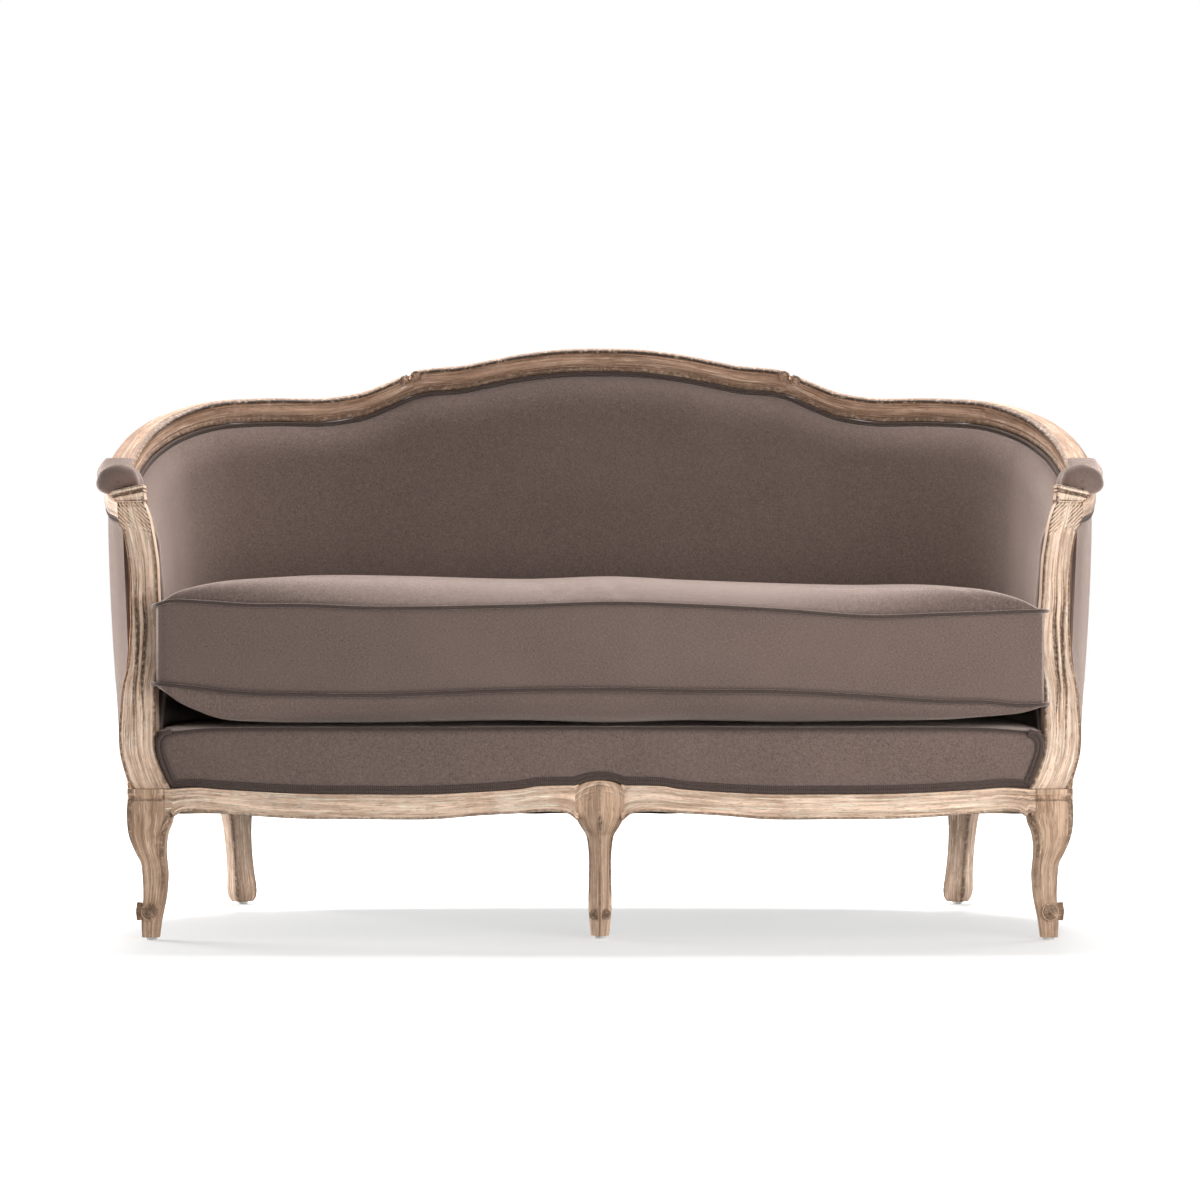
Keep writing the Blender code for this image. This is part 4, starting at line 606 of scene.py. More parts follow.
# CAD nodes that keep their own shape
for node_name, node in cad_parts.items():
    look = "steel" if "spring" in node_name else "nylon" if "glide" in node_name else "frame_wood"
    node.data.materials.clear()
    node.data.materials.append(LOOKS[look])


# ---------------------------------------------------------------- crest and arm rail
# In mm from the outer face and down from the top, for a rail of this width and height
PROFILE_WIDE, PROFILE_TALL = 42, 37
RAIL_PROFILE = (
    (12, 37), (0.8, 37), (0.8, 37), (0, 36), (0, 30), (0.9, 29.2), (0.9, 28.6), (0, 28), (0, 14), (0.5, 9), (2.2, 5),
    (5.5, 2), (10.5, 0.5), (17, 0), (28, 0), (33, 0.3), (37.5, 1.3), (40.6, 3.2), (42, 5.6), (41.9, 7.2), (40.6, 8.6),
    (39.4, 9.0), (39.0, 9.8), (39.8, 10.8), (38.6, 13.5), (37.4, 17.5), (37.2, 21), (38.0, 24.4), (39.3, 26.6),
    (39.0, 27.4), (37.8, 28.0), (38.9, 28.6), (40.6, 29.4), (41.6, 31.2), (41.8, 33.4), (41.3, 35.2), (40.0, 36.5),
    (38.2, 37), (38.2, 37), (30, 37), (20, 37),
)
# The carved knuckle at each joint: a notch in the top, a crescent cut under the outer scroll, two incised lines that
# run out before the scrolls, and two discs (radius, towards the side rail or the middle one, distance below the top)
JOINT = abs(shell_edge(RAIL, [KNUCKLE])[0, 0]) + 0.006
NOTCH_DEEP, NOTCH_HALF = 0.0078, 0.0048
CRESCENT_DEEP, INCISED_DEEP = 0.0012, 0.0010
DISCS = ((0.0086, -1, 0.0084), (0.0080, 1, 0.0084))


def rail_part(start, end, after=None):
    """The moulded rail between two stations."""
    shell = Shell(stations_between(start, end, 0.003 if min(abs(start), abs(end)) < CORNER else 0.0045))
    inward, down = through([(a / PROFILE_WIDE, h / PROFILE_TALL) for a, h in RAIL_PROFILE], 4).T
    across = np.abs(shell.high[:, 0])[:, None]
    near_top = np.clip(1 - down / 0.30, 0, 1) ** 0.5 * (inward > 0.1)
    notch = near_top * NOTCH_DEEP * groove(across, JOINT, NOTCH_HALF)
    height = shell.top[:, None] - down * shell.tall[:, None] - notch
    crescent = groove(across, JOINT + 0.010, 0.009) * groove(down, 0.50, 0.09) * (inward > 0.8)
    ends = smooth(JOINT - 0.032, JOINT - 0.020, across) * smooth(JOINT + 0.024, JOINT + 0.012, across)
    lines = (inward > 0.85) * (groove(down, 0.755, 0.02) + groove(down, 0.255, 0.02))
    on_back = smooth(14.5, 11.5, np.abs(shell.stations))[:, None]
    # painted shade: the inner top roll of the back is painted darker, and goes into worn with the crescent's lime and
    # the incised lines
    roll = 0.125 * on_back * (inward > 0.72) * smooth(0.27, 0.16, down)
    worn = roll - crescent * 0.55 + (1 - ends) * lines * 0.12
    depth = inward * RAIL_WIDE - (crescent * CRESCENT_DEEP - ends * lines * INCISED_DEEP)
    return part(shell.points(depth, height), "crest", extra=worn, after=after)


def boss(centre, out, wide, tall, proud, into, look, ring=0.84, worn=0.26):
    """A plain domed disc with a thin ring cut near its rim, its face looking along out."""
    out = np.array(out, float) / np.linalg.norm(out)
    across = unit(np.cross(out, UP))
    face_rows = 25
    radii = np.concatenate([np.linspace(0.03, 0.93, 24), [0.97, 1.0, 1.0, 0.96, 0.96]])
    lift = np.concatenate([np.full(24, proud), [proud - 0.0003, proud - 0.0012, proud * 0.4, 0.0, -into]])
    turns = round_turns(40)
    grid, dark = np.zeros((len(radii), len(turns), 3)), np.zeros((len(radii), len(turns)))
    for i, share in enumerate(radii):
        cut = 0.0011 * groove(share, ring, 0.11) + proud * 0.25 * share**2 - 0.0012 * groove(share, 0.0, 0.75)
        for j, turn in enumerate(turns):
            spread = across * math.cos(turn) * wide + UP * math.sin(turn) * tall
            grid[i, j] = centre + spread * share + out * (lift[i] - cut * (i < face_rows))
            dark[i, j] = worn * groove(share, 0.25, 0.60) + 0.34 * groove(share, ring, 0.10)
            dark[i, j] -= 0.60 * groove(share, ring + 0.09, 0.07) * smooth(-0.2, -0.7, math.sin(turn))
    return part(grid, look, reach=0.002, extra=dark)


def knuckle(side):
    """The discs of one knuckle: the inner one for the middle rail, the outer one for the side rail."""
    made = []
    stations = np.linspace(KNUCKLE - 0.6, KNUCKLE + 0.6, 61)
    edges = np.abs(shell_edge(RAIL, stations)[:, 0])
    for radius, way, down in DISCS:
        shell = Shell([side * float(np.interp(JOINT + way * radius * 1.15, edges, stations))])
        place = shell.points([[RAIL_WIDE - 0.0012]], [[shell.top[0] - down]])[0, 0]
        out = np.append(-shell.out_high[0], 0.0)
        made.append(boss(place, out, radius, radius, 0.0030, 0.004, "crest", 0.78, 0.04))
    return made


KNUCKLE_GAP, CORNER_GAP = 0.006, 0.001  # in stations
inner_left, outer_left = knuckle(-1)
inner_right, outer_right = knuckle(1)
middle_rail = rail_part(KNUCKLE_GAP - KNUCKLE, KNUCKLE - KNUCKLE_GAP)
piece("crest_rail_center_carved", [middle_rail, inner_left, inner_right], ["crest_rail_center"])
for (side, word), outer in zip(SIDES, (outer_left, outer_right)):
    crest = rail_part(side * (KNUCKLE + KNUCKLE_GAP), side * (CORNER - CORNER_GAP))
    arm = rail_part(side * (CORNER + CORNER_GAP), side * ARM_END, crest)
    piece(f"crest_rail_{word}_carved", [crest, outer], [f"crest_rail_{word}"])
    piece(f"arm_rail_{word}_carved", [arm], [f"arm_rail_{word}"])


# ---------------------------------------------------------------- arm posts
POST_FOOT = FRONT_RAIL_TOP + FRONT_WAVE * FRONT_TOP[-1][1] + FIT
# Height, and how much fuller than the CAD model's the post's outer edge is, in mm
WAIST = (
    (0.200, 0.0), (0.320, 0.0), (0.358, 2.6), (0.400, 5.4), (0.430, 9.2), (0.458, 6.8), (0.486, 3.2), (0.520, 0.0),
    (0.660, 0.0),
)
# Height, and where the two flutes run across the face (outer edge -1, inner edge 1), and how deep they are in mm
FLUTES = (
    (0.222, 0.02, 0.20, 0.0), (0.246, -0.02, 0.24, 0.3), (0.270, -0.06, 0.26, 1.0), (0.300, -0.10, 0.26, 1.7),
    (0.322, -0.13, 0.25, 2.2), (0.358, -0.24, 0.12, 3.0), (0.400, -0.43, -0.03, 3.4), (0.430, -0.45, -0.03, 3.4),
    (0.458, -0.48, 0.00, 3.2), (0.486, -0.50, 0.00, 2.3), (0.530, -0.40, 0.05, 1.1), (0.580, -0.30, 0.10, 0.5),
)
# Heights of the cap: its foot, the step and the groove in it, and where its top rounds off
CAP_FOOT, CAP_STEP, CAP_GROOVE, CAP_ROUND = 0.6285, (0.6365, 0.6375), 0.6400, 0.6465
# The plume under the cap: its ragged foot, its top edge, and the pitch and slope of its strokes
PLUME_FOOT, PLUME_TOP, STROKE_PITCH, STROKE_SLOPE = 0.582, (0.6275, 0.6240), 0.0056, 0.80
NECK = 0.6255


def post_rows(heights):
    """The post's middle, width and depth at heights."""
    rows = curve(POST, (np.asarray(heights, float) - POST_FOOT) / (POST_CAP_TOP - POST_FOOT))
    fuller = curve(WAIST, heights)[..., 0] / 1000
    return rows[..., 0] * HALF_WIDTH + fuller / 2, rows[..., 1] * POST_WIDE + fuller, rows[..., 2] * POST_DEEP


def post_inner(heights):
    middle, wide, _ = post_rows(np.atleast_1d(heights))
    return middle - wide / 2


def post_outer(heights):
    middle, wide, _ = post_rows(heights)
    return middle + wide / 2


def cap_proud(level):
    """How far the cap's mouldings stand out of the post."""
    if level <= CAP_FOOT:
        return 0.0
    cap = 0.0022 + 0.0022 * smooth(*CAP_STEP, level) - 0.0030 * groove(level, CAP_GROOVE, 0.0022)
    rounded_off = 1 - 0.5 * float(smooth(CAP_ROUND, POST_CAP_TOP, level))
    return cap * (float(smooth(CAP_FOOT, 0.6290, level)) * rounded_off)


def flute_cuts(s, half, first, second, depth):
    """The relief and the dark of the two flutes and the bead between them, at places across a face this wide."""
    relief, dark = np.zeros(len(s)), np.zeros(len(s))
    for centre in (first, second):
        cut = groove(s, centre, 0.0021 / half)
        relief += depth * 0.001 * cut
        dark += 0.14 * depth * cut
    middle, apart, full = (first + second) / 2, abs(second - first), min(1.0, depth / 2)
    relief -= 0.0012 * groove(s, middle, apart / 2) * full
    return relief, dark - 0.30 * groove(s, middle, apart / 3) * full


def plume(x, level):
    """Where the plume is, its relief and its dark. Its strokes lean inward on the outer side and spread on the inner
    one, from a middle line of cream."""
    ragged = PLUME_FOOT + 0.006 * np.sin(x * 900 + 1.0) + 0.010 * groove(x, -0.010, 0.012)
    where = smooth(ragged, ragged + 0.006, level) * smooth(*PLUME_TOP, level)
    stroke = 0.5 + 0.5 * np.cos(math.tau * (x + STROKE_SLOPE * (level - 0.6)) / STROKE_PITCH)
    stroke *= 1 - groove(x, 0.0010, 0.0050)
    relief = 0.0021 * stroke**1.4 + 0.0020 * groove(x, 0.0015, 0.0016) - 0.0011
    dark = 0.9 * groove(x, 0.0015, 0.0014) + np.where(stroke > 0.5, 0.60 * (stroke - 0.4), -0.85 * (1 - stroke) ** 3)
    return where, relief, dark


def post_part(side):
    """An arm post from its foot up, with rings of points that run round its section."""
    levels = np.concatenate([np.arange(POST_FOOT, 0.5745, 0.0025), np.arange(0.5750, POST_CAP_TOP, 0.0007)])
    middle, wide, deep = post_rows(levels)
    sides = np.linspace(0.04, 1, 12)
    s = np.concatenate([np.full(12, -1.0), np.linspace(-1, 1, 81), np.full(12, 1.0)])
    back = np.concatenate([sides[::-1], np.zeros(81), sides])
    is_front = back == 0
    grid, hollow = np.zeros((len(levels), len(s), 3)), np.zeros((len(levels), len(s)))
    flutes = curve(FLUTES, levels)
    shell_ends = [BASE[0][1] * HALF_DEPTH, RAIL[0][1] * HALF_DEPTH]
    shell_back = np.interp(levels, [SEAT_RAIL_TOP, ARM_TOP - ARM_RAIL_TALL], shell_ends)
    drop = (1 - np.sqrt(1 - np.clip((np.abs(s) - 0.8) / 0.2, 0, 1) ** 2)) * 0.006
    for row, level in enumerate(levels):
        half = wide[row] / 2
        cap = cap_proud(level)
        under = 0.0030 * float(groove(level, NECK, 0.0045))
        x = s * half
        relief, dark = flute_cuts(s, half, *flutes[row])
        relief += 0.0007 * groove(s, -0.80, 0.0014 / half) * smooth(0.27, 0.32, level)
        where, plume_relief, plume_dark = plume(x, level)
        where = where * is_front
        relief = relief * (1 - where) + where * plume_relief
        # the dark band at 0.6262, in the neck under the cap, is a painted shadow
        dark += where * plume_dark + 0.5 * groove(level, CAP_GROOVE, 0.0018) + 0.35 * groove(level, 0.6262, 0.0022)
        dark -= 0.60 * groove(level, 0.6445, 0.0016) + 0.55 * groove(level, 0.6345, 0.0014)
        hollow[row] = is_front * dark
        relief = np.where(is_front, relief + drop + under, 0)
        y = shell_back[row] - FIT - (1 - back) * (deep[row] + cap) + relief
        wider = (half + cap * 0.8 - under * 0.4) / half
        tilt = smooth(0.626, 0.640, level) * POST_TILT
        grid[row] = np.stack([side * (middle[row] - x * wider), y, level + tilt * x], -1)
    return part(grid, "post", reach=0.0028, extra=hollow)


for side, word in SIDES:
    piece(f"arm_post_{word}_carved", [post_part(side)], [f"arm_post_{word}"], angle=50)


# ---------------------------------------------------------------- front rail and legs
LEG_INNER = post_rows([POST_FOOT])[0][0] - FRONT_LEG_WIDE / 2
RAIL_ENDS = (0.95 * CENTRE_LEG_WIDE / 2 + FIT, LEG_INNER - FIT)
LEG_LOW = GLIDE_THICK + FIT
LEG_TOP = POST_FOOT - FIT
LEG_BACK = BASE[0][1] * HALF_DEPTH - FIT
FACE = -HALF_DEPTH + FRONT_SET_BACK


def front_face(across):
    along = np.clip((np.abs(across) - RAIL_ENDS[0]) / (RAIL_ENDS[1] - RAIL_ENDS[0]), 0, 1)
    return FACE - FRONT_BOW * np.sin(math.pi * along)


def front_top(across):
    share = np.abs(across) / HALF_WIDTH
    away = np.clip(np.abs(across) / (CENTRE_LEG_WIDE / 2), 0, 1)
    arch = (CENTRE_ARCH_RISE - FRONT_WAVE * FRONT_TOP[0][1]) * (1 - away**2)
    return FRONT_RAIL_TOP + curve(FRONT_TOP, share)[..., 0] * FRONT_WAVE + arch


def front_foot(across):
    return FRONT_RAIL_TOP - FRONT_RAIL_TALL + curve(FRONT_FOOT, np.abs(across) / HALF_WIDTH)[..., 0] * FRONT_WAVE


# In mm back from the face; down from the top for the upper part, up from the foot for the lower part
RAIL_UPPER = (
    (28, 0), (16, 0), (3, 0), (0.8, 0.4), (0.1, 1.2), (0.5, 1.9), (0.9, 2.3), (0.5, 2.8), (0.2, 3.6), (0.4, 6.0),
)
RAIL_LOWER = (
    (0.5, 7.6), (0.7, 6.4), (1.5, 5.6), (0.9, 4.9), (0.4, 4.2), (0.2, 2.8), (0.7, 1.2), (2.2, 0.1), (8, 0), (18, 0),
    (28, 0),
)
RAIL_INTO_LEG, RAIL_REACH = 0.012, 0.0123
QUIRK = 0.0115  # how far down the quirk under the top moulding lies, on the rails near the legs and on the legs


def front_rail_part(side):
    """Its ends sweep forward to the corner leg's face, over the rounded corner there."""
    across = np.linspace(RAIL_ENDS[0] - 0.004, RAIL_ENDS[1] + RAIL_INTO_LEG, 190)
    top, foot, face = front_top(across), front_foot(across), front_face(across)
    face = face + 0.0034 * smooth(RAIL_ENDS[0] + 0.005, RAIL_ENDS[0] - 0.003, across)
    foot = np.where(across > RAIL_ENDS[1], foot[across <= RAIL_ENDS[1]][-1] + 0.006, foot)
    top = np.minimum(top, np.where(across > RAIL_ENDS[1], LEG_TOP, 1.0))
    forward = RAIL_REACH * smooth(RAIL_ENDS[1] - 0.050, RAIL_ENDS[1] + 0.002, across)
    near_leg = smooth(RAIL_ENDS[1] - 0.095, RAIL_ENDS[1] - 0.010, across)
    upper, lower = through(RAIL_UPPER, 4) / 1000, through(RAIL_LOWER, 4) / 1000
    middle = np.linspace(0, 1, 15)[1:-1]
    grid, dark = [], []
    for x, z1, z0, y, f, near in zip(across, top, foot, face, forward, near_leg):
        low, start = z0 + lower[0][1], z1 - upper[-1][1]
        ring = [(b, z1 - h) for b, h in upper]
        ring += [(0.0005, start + (low - start) * t) for t in middle]
        ring = np.array(ring + [(b, z0 + h) for b, h in lower])
        cut = groove(z1 - ring[:, 1], QUIRK, 0.0040) * near * (ring[:, 0] < 0.004)
        back = ring[:, 0] + 0.0026 * cut
        depth = y + back - f * (1 - np.clip(back / 0.028, 0, 1))
        grid.append(np.stack([np.full(len(ring), side * x), depth, ring[:, 1]], -1))
        on_face = ring[:, 0] < 0.002
        down = z1 - ring[:, 1]
        rim = groove(down, 0.0072, 0.0011) * near + groove(down, 0.0010, 0.0008) * 0.8
        # painted shade, dark, in the quirk under the top moulding (0.25 * cut)
        dark.append(on_face * (0.25 * cut - 0.62 * rim + 0.20 * groove(ring[:, 1] - z0, 0.0056, 0.0009)))
    return part(np.array(grid), "front", reach=0.003, extra=np.array(dark))


for side, word in SIDES:
    piece(f"front_rail_{word}_moulded", [front_rail_part(side)], [f"front_rail_{word}"])


SCROLL_AT, DISC_WIDE, DISC_TALL, DISC_SHIFT = 0.041, 0.0124, 0.0130, 0.004


def corner_leg_part(side):
    """A cabriole leg: a square section, its arris outward, with an incised line along both its shown edges."""
    levels = np.linspace(0, 1, 170)
    section = through(LEG_SECTION, 8, closed=True)
    p, q = section[:, 0], section[:, 1]
    first, second = np.array([side, 0, 0.0]), np.array([0, -1, 0.0])
    grid, dark = [], []
    for level, (wide, shift) in zip(levels, curve(LEG, levels)):
        z = LEG_LOW + (LEG_TOP - LEG_LOW) * level
        half = wide * FRONT_LEG_WIDE / 2
        reach = shift * FRONT_LEG_WIDE + half
        centre = np.array([side * (LEG_INNER + reach), LEG_BACK - reach, z])
        down = LEG_TOP - z
        # a band goes on from the rail's top moulding, with a deep quirk under it
        band = 0.0010 * smooth(0.0085, 0.0070, down) - 0.0030 * groove(down, QUIRK, 0.0045)
        edge = -1 + min(0.0092 / half, 0.80) * float(smooth(0.186, 0.162, z)) + 0.02
        fade = float(smooth(0.062, 0.080, z)) * float(smooth(0.192, 0.180, z))
        line = np.zeros(len(section))
        cut = np.zeros(len(section))
        for t, o in ((p, q), (q, p)):
            line += (o > 0.55) * fade * groove(t, edge, 0.0017 / half)
            cut -= (o > 0.55) * 0.0006 * fade * groove(t, edge - 0.0048 / half, 0.0036 / half)
        out = first * p[:, None] + second * q[:, None]
        grid.append(centre + out * half + unit(out) * (band - cut - 0.0019 * line)[:, None])
        # painted shade, dark, in the quirk under the band
        dark.append(0.30 * line + 0.28 * groove(down, QUIRK, 0.0034) - 0.62 * groove(down, 0.0070, 0.0012))
    return part(np.array(grid), "leg", reach=0.0035, extra=np.array(dark))


for side, word in SIDES:
    wide, shift = curve(LEG, [(SCROLL_AT - LEG_LOW) / (LEG_TOP - LEG_LOW)])[0]
    half = wide * FRONT_LEG_WIDE / 2
    outer = shift * FRONT_LEG_WIDE + 2 * half
    discs = (
        (side * (LEG_INNER + outer - half + DISC_SHIFT), LEG_BACK - outer, (0, -1, 0), 0.0052),
        (side * (LEG_INNER + outer), LEG_BACK - outer + half - DISC_SHIFT, (side, 0, 0), 0.0085),
    )
    made = []
    for x, y, out, proud in discs:
        made.append(boss(np.array([x, y, SCROLL_AT]), out, DISC_WIDE, DISC_TALL, proud, half, "leg"))
    piece(f"front_leg_{word}_carved", [corner_leg_part(side)] + made, [f"front_leg_{word}"])


def centre_leg_part():
    """A diamond-set leg. Its top is filled out to the rails' face, with an arch and lines cut in it."""
    top = FRONT_RAIL_TOP + CENTRE_ARCH_RISE - 0.001
    block = CENTRE_LEG_WIDE / 2 / 1.145
    middle = FACE - FRONT_BOW + block * 1.315
    levels = np.concatenate([np.linspace(0, 0.7, 90), np.linspace(0.7, 1.0, 80)[1:]])
    section = through(LEG_SECTION, 8, closed=True)
    p, q = section[:, 0], section[:, 1]
    first, second = np.array([1, -1, 0.0]) / math.sqrt(2), np.array([-1, -1, 0.0]) / math.sqrt(2)
    grid, dark = [], []
    for level, (wide, back) in zip(levels, curve(CENTRE_LEG, levels)):
        z = LEG_LOW + (top - LEG_LOW) * level
        half = block * wide * (1 + 0.14 * float(groove(z, 0.165, 0.020)))
        centre = np.array([0, middle + back * CENTRE_LEG_WIDE, z])
        edge = -1 + min(0.0075 / half, 0.8)
        fade = float(smooth(0.055, 0.070, z)) * float(smooth(0.176, 0.164, z))
        line = sum((o > 0.55) * fade * groove(t, edge, 0.0016 / half) for t, o in ((p, q), (q, p)))
        out = first * p[:, None] + second * q[:, None]
        ring = centre + out * half
        facing = p + q > -0.1
        # filled out to the plane of the rails' face
        full = float(smooth(0.166, 0.186, z))
        behind = ring[:, 1] - FACE - 0.0003
        flush = FACE + 0.0003 + 0.5 * (behind - np.sqrt(behind**2 + 0.004**2)) + 0.002
        ring[:, 1] = np.where(facing, ring[:, 1] * (1 - full) + np.minimum(flush, ring[:, 1]) * full, ring[:, 1])
        ring[:, 0] *= 1 + 0.06 * full * facing
        x = ring[:, 0]
        arch = top - 0.0062 - 0.0135 * (x / 0.033) ** 2
        under, away = arch - z, np.abs(x)
        second_line = groove(under, 0.0085, 0.0012) * smooth(0.005, 0.010, away) * smooth(0.026, 0.022, away)
        third_line = groove(under, 0.0160, 0.0012) * smooth(0.010, 0.014, away) * smooth(0.028, 0.024, away) * (x < 0)
        cuts = groove(under, 0.0, 0.0013) + second_line + 0.7 * third_line
        cut = facing * 0.0014 * cuts + 0.0016 * line
        ring -= unit(out) * cut[:, None]
        grid.append(ring)
        rim = groove(under, -0.0016, 0.0012) + groove(under, 0.0068, 0.0009) * smooth(0.006, 0.010, away)
        dark.append(facing * (0.34 * cuts - 0.55 * rim - 0.14 * full) + 0.28 * line * (1 + (x > 0)) / 2)
    made = [part(np.array(grid), "leg", reach=0.003, extra=np.array(dark))]
    scroll_at = 0.035
    wide, back = curve(CENTRE_LEG, [(scroll_at - LEG_LOW) / (top - LEG_LOW)])[0]
    half = block * wide
    centre = np.array([0, middle + back * CENTRE_LEG_WIDE, scroll_at])
    for out, along in ((first, second), (second, first)):
        facing = out + 0.55 * second + 0.55 * first
        at = centre + out * (half - 0.0005) + along * (half - 0.0105)
        made.append(boss(at, facing, 0.0084, 0.0086, 0.0036, half, "leg"))
    return made


piece("front_leg_center_carved", centre_leg_part(), ["front_leg_center"])


# ---------------------------------------------------------------- rear legs, side and rear rails
def rounded(first, second, power=4.0, count=40):
    """A squarish ring with these two half sizes."""
    turns = round_turns(count)
    c, s = np.cos(turns), np.sin(turns)
    size = (np.abs(c) ** power + np.abs(s) ** power) ** (-1 / power)
    return (c * size)[:, None] * first + (s * size)[:, None] * second


def rear_leg_part(side):
    """A sabre leg, and the slim stile that it carries on as, up to the crest rail."""
    shell = Shell([side * REAR_LEG_STATION])
    out = np.append(shell.out_low[0], 0.0)
    along = np.array([-out[1], out[0], 0.0])
    block = shell.points([[0.002 + REAR_LEG_DEEP / 2]], [[SEAT_RAIL_TOP]])[0, 0]
    levels = np.linspace(0, 1, 110)
    grid = []
    for level, (kick, wide) in zip(levels, curve(REAR_LEG, levels)):
        centre = block + np.array([0, kick * REAR_LEG_KICK, (LEG_LOW - SEAT_RAIL_TOP) * (1 - level)])
        grid.append(centre + rounded(out * REAR_LEG_DEEP * wide / 2, along * REAR_LEG_WIDE * wide / 2, 7.0))
    for height in np.linspace(SEAT_RAIL_TOP + 0.0004, shell.foot[0] - 0.002, 20):
        centre = shell.points([[0.0231]], [[height]])[0, 0]
        grid.append(centre + rounded(out * 0.0092, along * 0.013))
    return part(np.array(grid), "rear", reach=0.004)


for side, word in SIDES:
    piece(f"rear_leg_{word}_shaped", [rear_leg_part(side)], [f"rear_leg_{word}"])

# In mm inward and down, for a seat rail 28 thick and 44 tall
SEAT_RAIL_PROFILE = (
    (28, 0), (15, 0), (6, 0), (1.6, 0.4), (0.2, 2.2), (0, 5), (0.6, 8), (2.0, 9.6), (2.8, 10.6), (1.8, 11.8),
    (1.0, 14), (0.8, 22), (1.0, 31), (1.8, 34.4), (2.9, 35.6), (2.0, 36.8), (0.7, 38.4), (0.2, 40.6), (0.9, 42.8),
    (3.0, 44), (3.0, 44), (14, 44), (28, 44), (28, 44), (28, 22),
)


def tuck(stations):
    """How far the foot of the arms is drawn in behind the front legs."""
    return 0.008 * smooth(12.5, 15.0, np.abs(stations))[:, None]


def seat_rail_part(start, end, cut=None):
    """A moulded seat rail under the shell. Its last end is cut square at a place along Y."""
    shell = Shell(stations_between(start, end, 0.006))
    profile = through([(a / 1000, h / 1000) for a, h in SEAT_RAIL_PROFILE], 3)
    inward = 0.002 + profile[:, 0] + tuck(shell.stations) * (1 - profile[:, 0] / 0.028)
    points = shell.points(inward, SEAT_RAIL_TOP - profile[:, 1])
    if cut is not None:
        points[-1, :, 1] = cut
    return part(points, "leg", reach=0.0035)


half_leg = REAR_LEG_WIDE / 2 / 0.0545
for side, word in SIDES:
    rail = seat_rail_part(side * (REAR_LEG_STATION + half_leg), side * ARM_END, LEG_BACK + 3 * FIT)
    piece(f"side_rail_{word}_moulded", [rail], [f"side_rail_{word}"])
rear = seat_rail_part(-REAR_LEG_STATION + half_leg, REAR_LEG_STATION - half_leg)
piece("rear_rail_moulded", [rear], ["rear_rail"])


# ---------------------------------------------------------------- upholstery of the shell
WELT, WELT_PROUD, WELT_CLEAR = 0.0096, 0.0044, 0.0004
WELT_ROOT = 0.0006  # how far the strip's edges go into what it is glued to


def welt(line, outs, downs, wide=WELT):
    """Double welt: two cords in one folded strip, stitched down the middle. line is its middle on what it is glued to,
    outs points off the face and downs across the strip, each a row to a place."""
    turns = np.linspace(math.pi * 1.02, -math.pi * 0.02, 13)
    radius = wide / 4
    section = [(-wide / 2, -WELT_ROOT)]
    for centre in (-radius, radius):
        section += [(centre + radius * math.cos(t), max(0.0, math.sin(t)) ** 0.85 * WELT_PROUD) for t in turns]
    a, b = np.array(section + [(wide / 2, -WELT_ROOT)]).T[:, None, :, None]
    # painted shade in the stitched groove between the cords and along both edges, where the strip meets what it is
    # glued to
    dark = np.zeros((1, a.shape[1]))
    dark[0, 13:15], dark[0, [1, 2, -3, -2]] = 0.50, 0.22
    return part(line[:, None] + downs[:, None] * a + outs[:, None] * b, "welt", is_cloth=True, reach=0.002, extra=dark)


def welt_on_shell(stations, inward, top_of, out, wide=WELT):
    """A double welt that follows the shell, its top at a height."""
    shell = Shell(stations)
    count = len(stations)
    height = (top_of(shell) - wide / 2)[:, None]
    line = shell.points(inward + tuck(stations) * (height < 0.25), height)[:, 0]
    outs = lifted(shell.out_low * out)
    return welt(line, outs, np.tile([0, 0, -1.0], (count, 1)), wide)


# Depths inward: the inside pad's face low down and where it is fullest, its edge at the posts, and its back
INSIDE_LOW, INSIDE_FULL, INSIDE_EDGE, INSIDE_BACK = 0.062, 0.072, 0.041, 0.0332
INSIDE_ROLL = 0.026
# Share of the height over the deck, and how full the inside pad is there
INSIDE_SWELL = ((0.00, 0.0), (0.16, 0.75), (0.35, 1.0), (0.60, 0.95), (0.80, 0.55), (1.00, 0.30))
PER_METRE = 1 / STATION_PITCH


def inside_depth(shell, height):
    """How deep the inside pad's face lies: it swells from the deck up, and rolls back at its ends."""
    share = (height - DECK_TOP) / (shell.foot[:, None] - DECK_TOP)
    full = INSIDE_LOW + (INSIDE_FULL - INSIDE_LOW) * curve(INSIDE_SWELL, np.clip(share, 0, 1))[..., 0]
    turn = np.clip(((ARM_END - np.abs(shell.stations)) * STATION_PITCH - WELT) / INSIDE_ROLL, 0, 1)[:, None]
    return INSIDE_EDGE + (full - INSIDE_EDGE) * np.sqrt(1 - (1 - turn) ** 2)


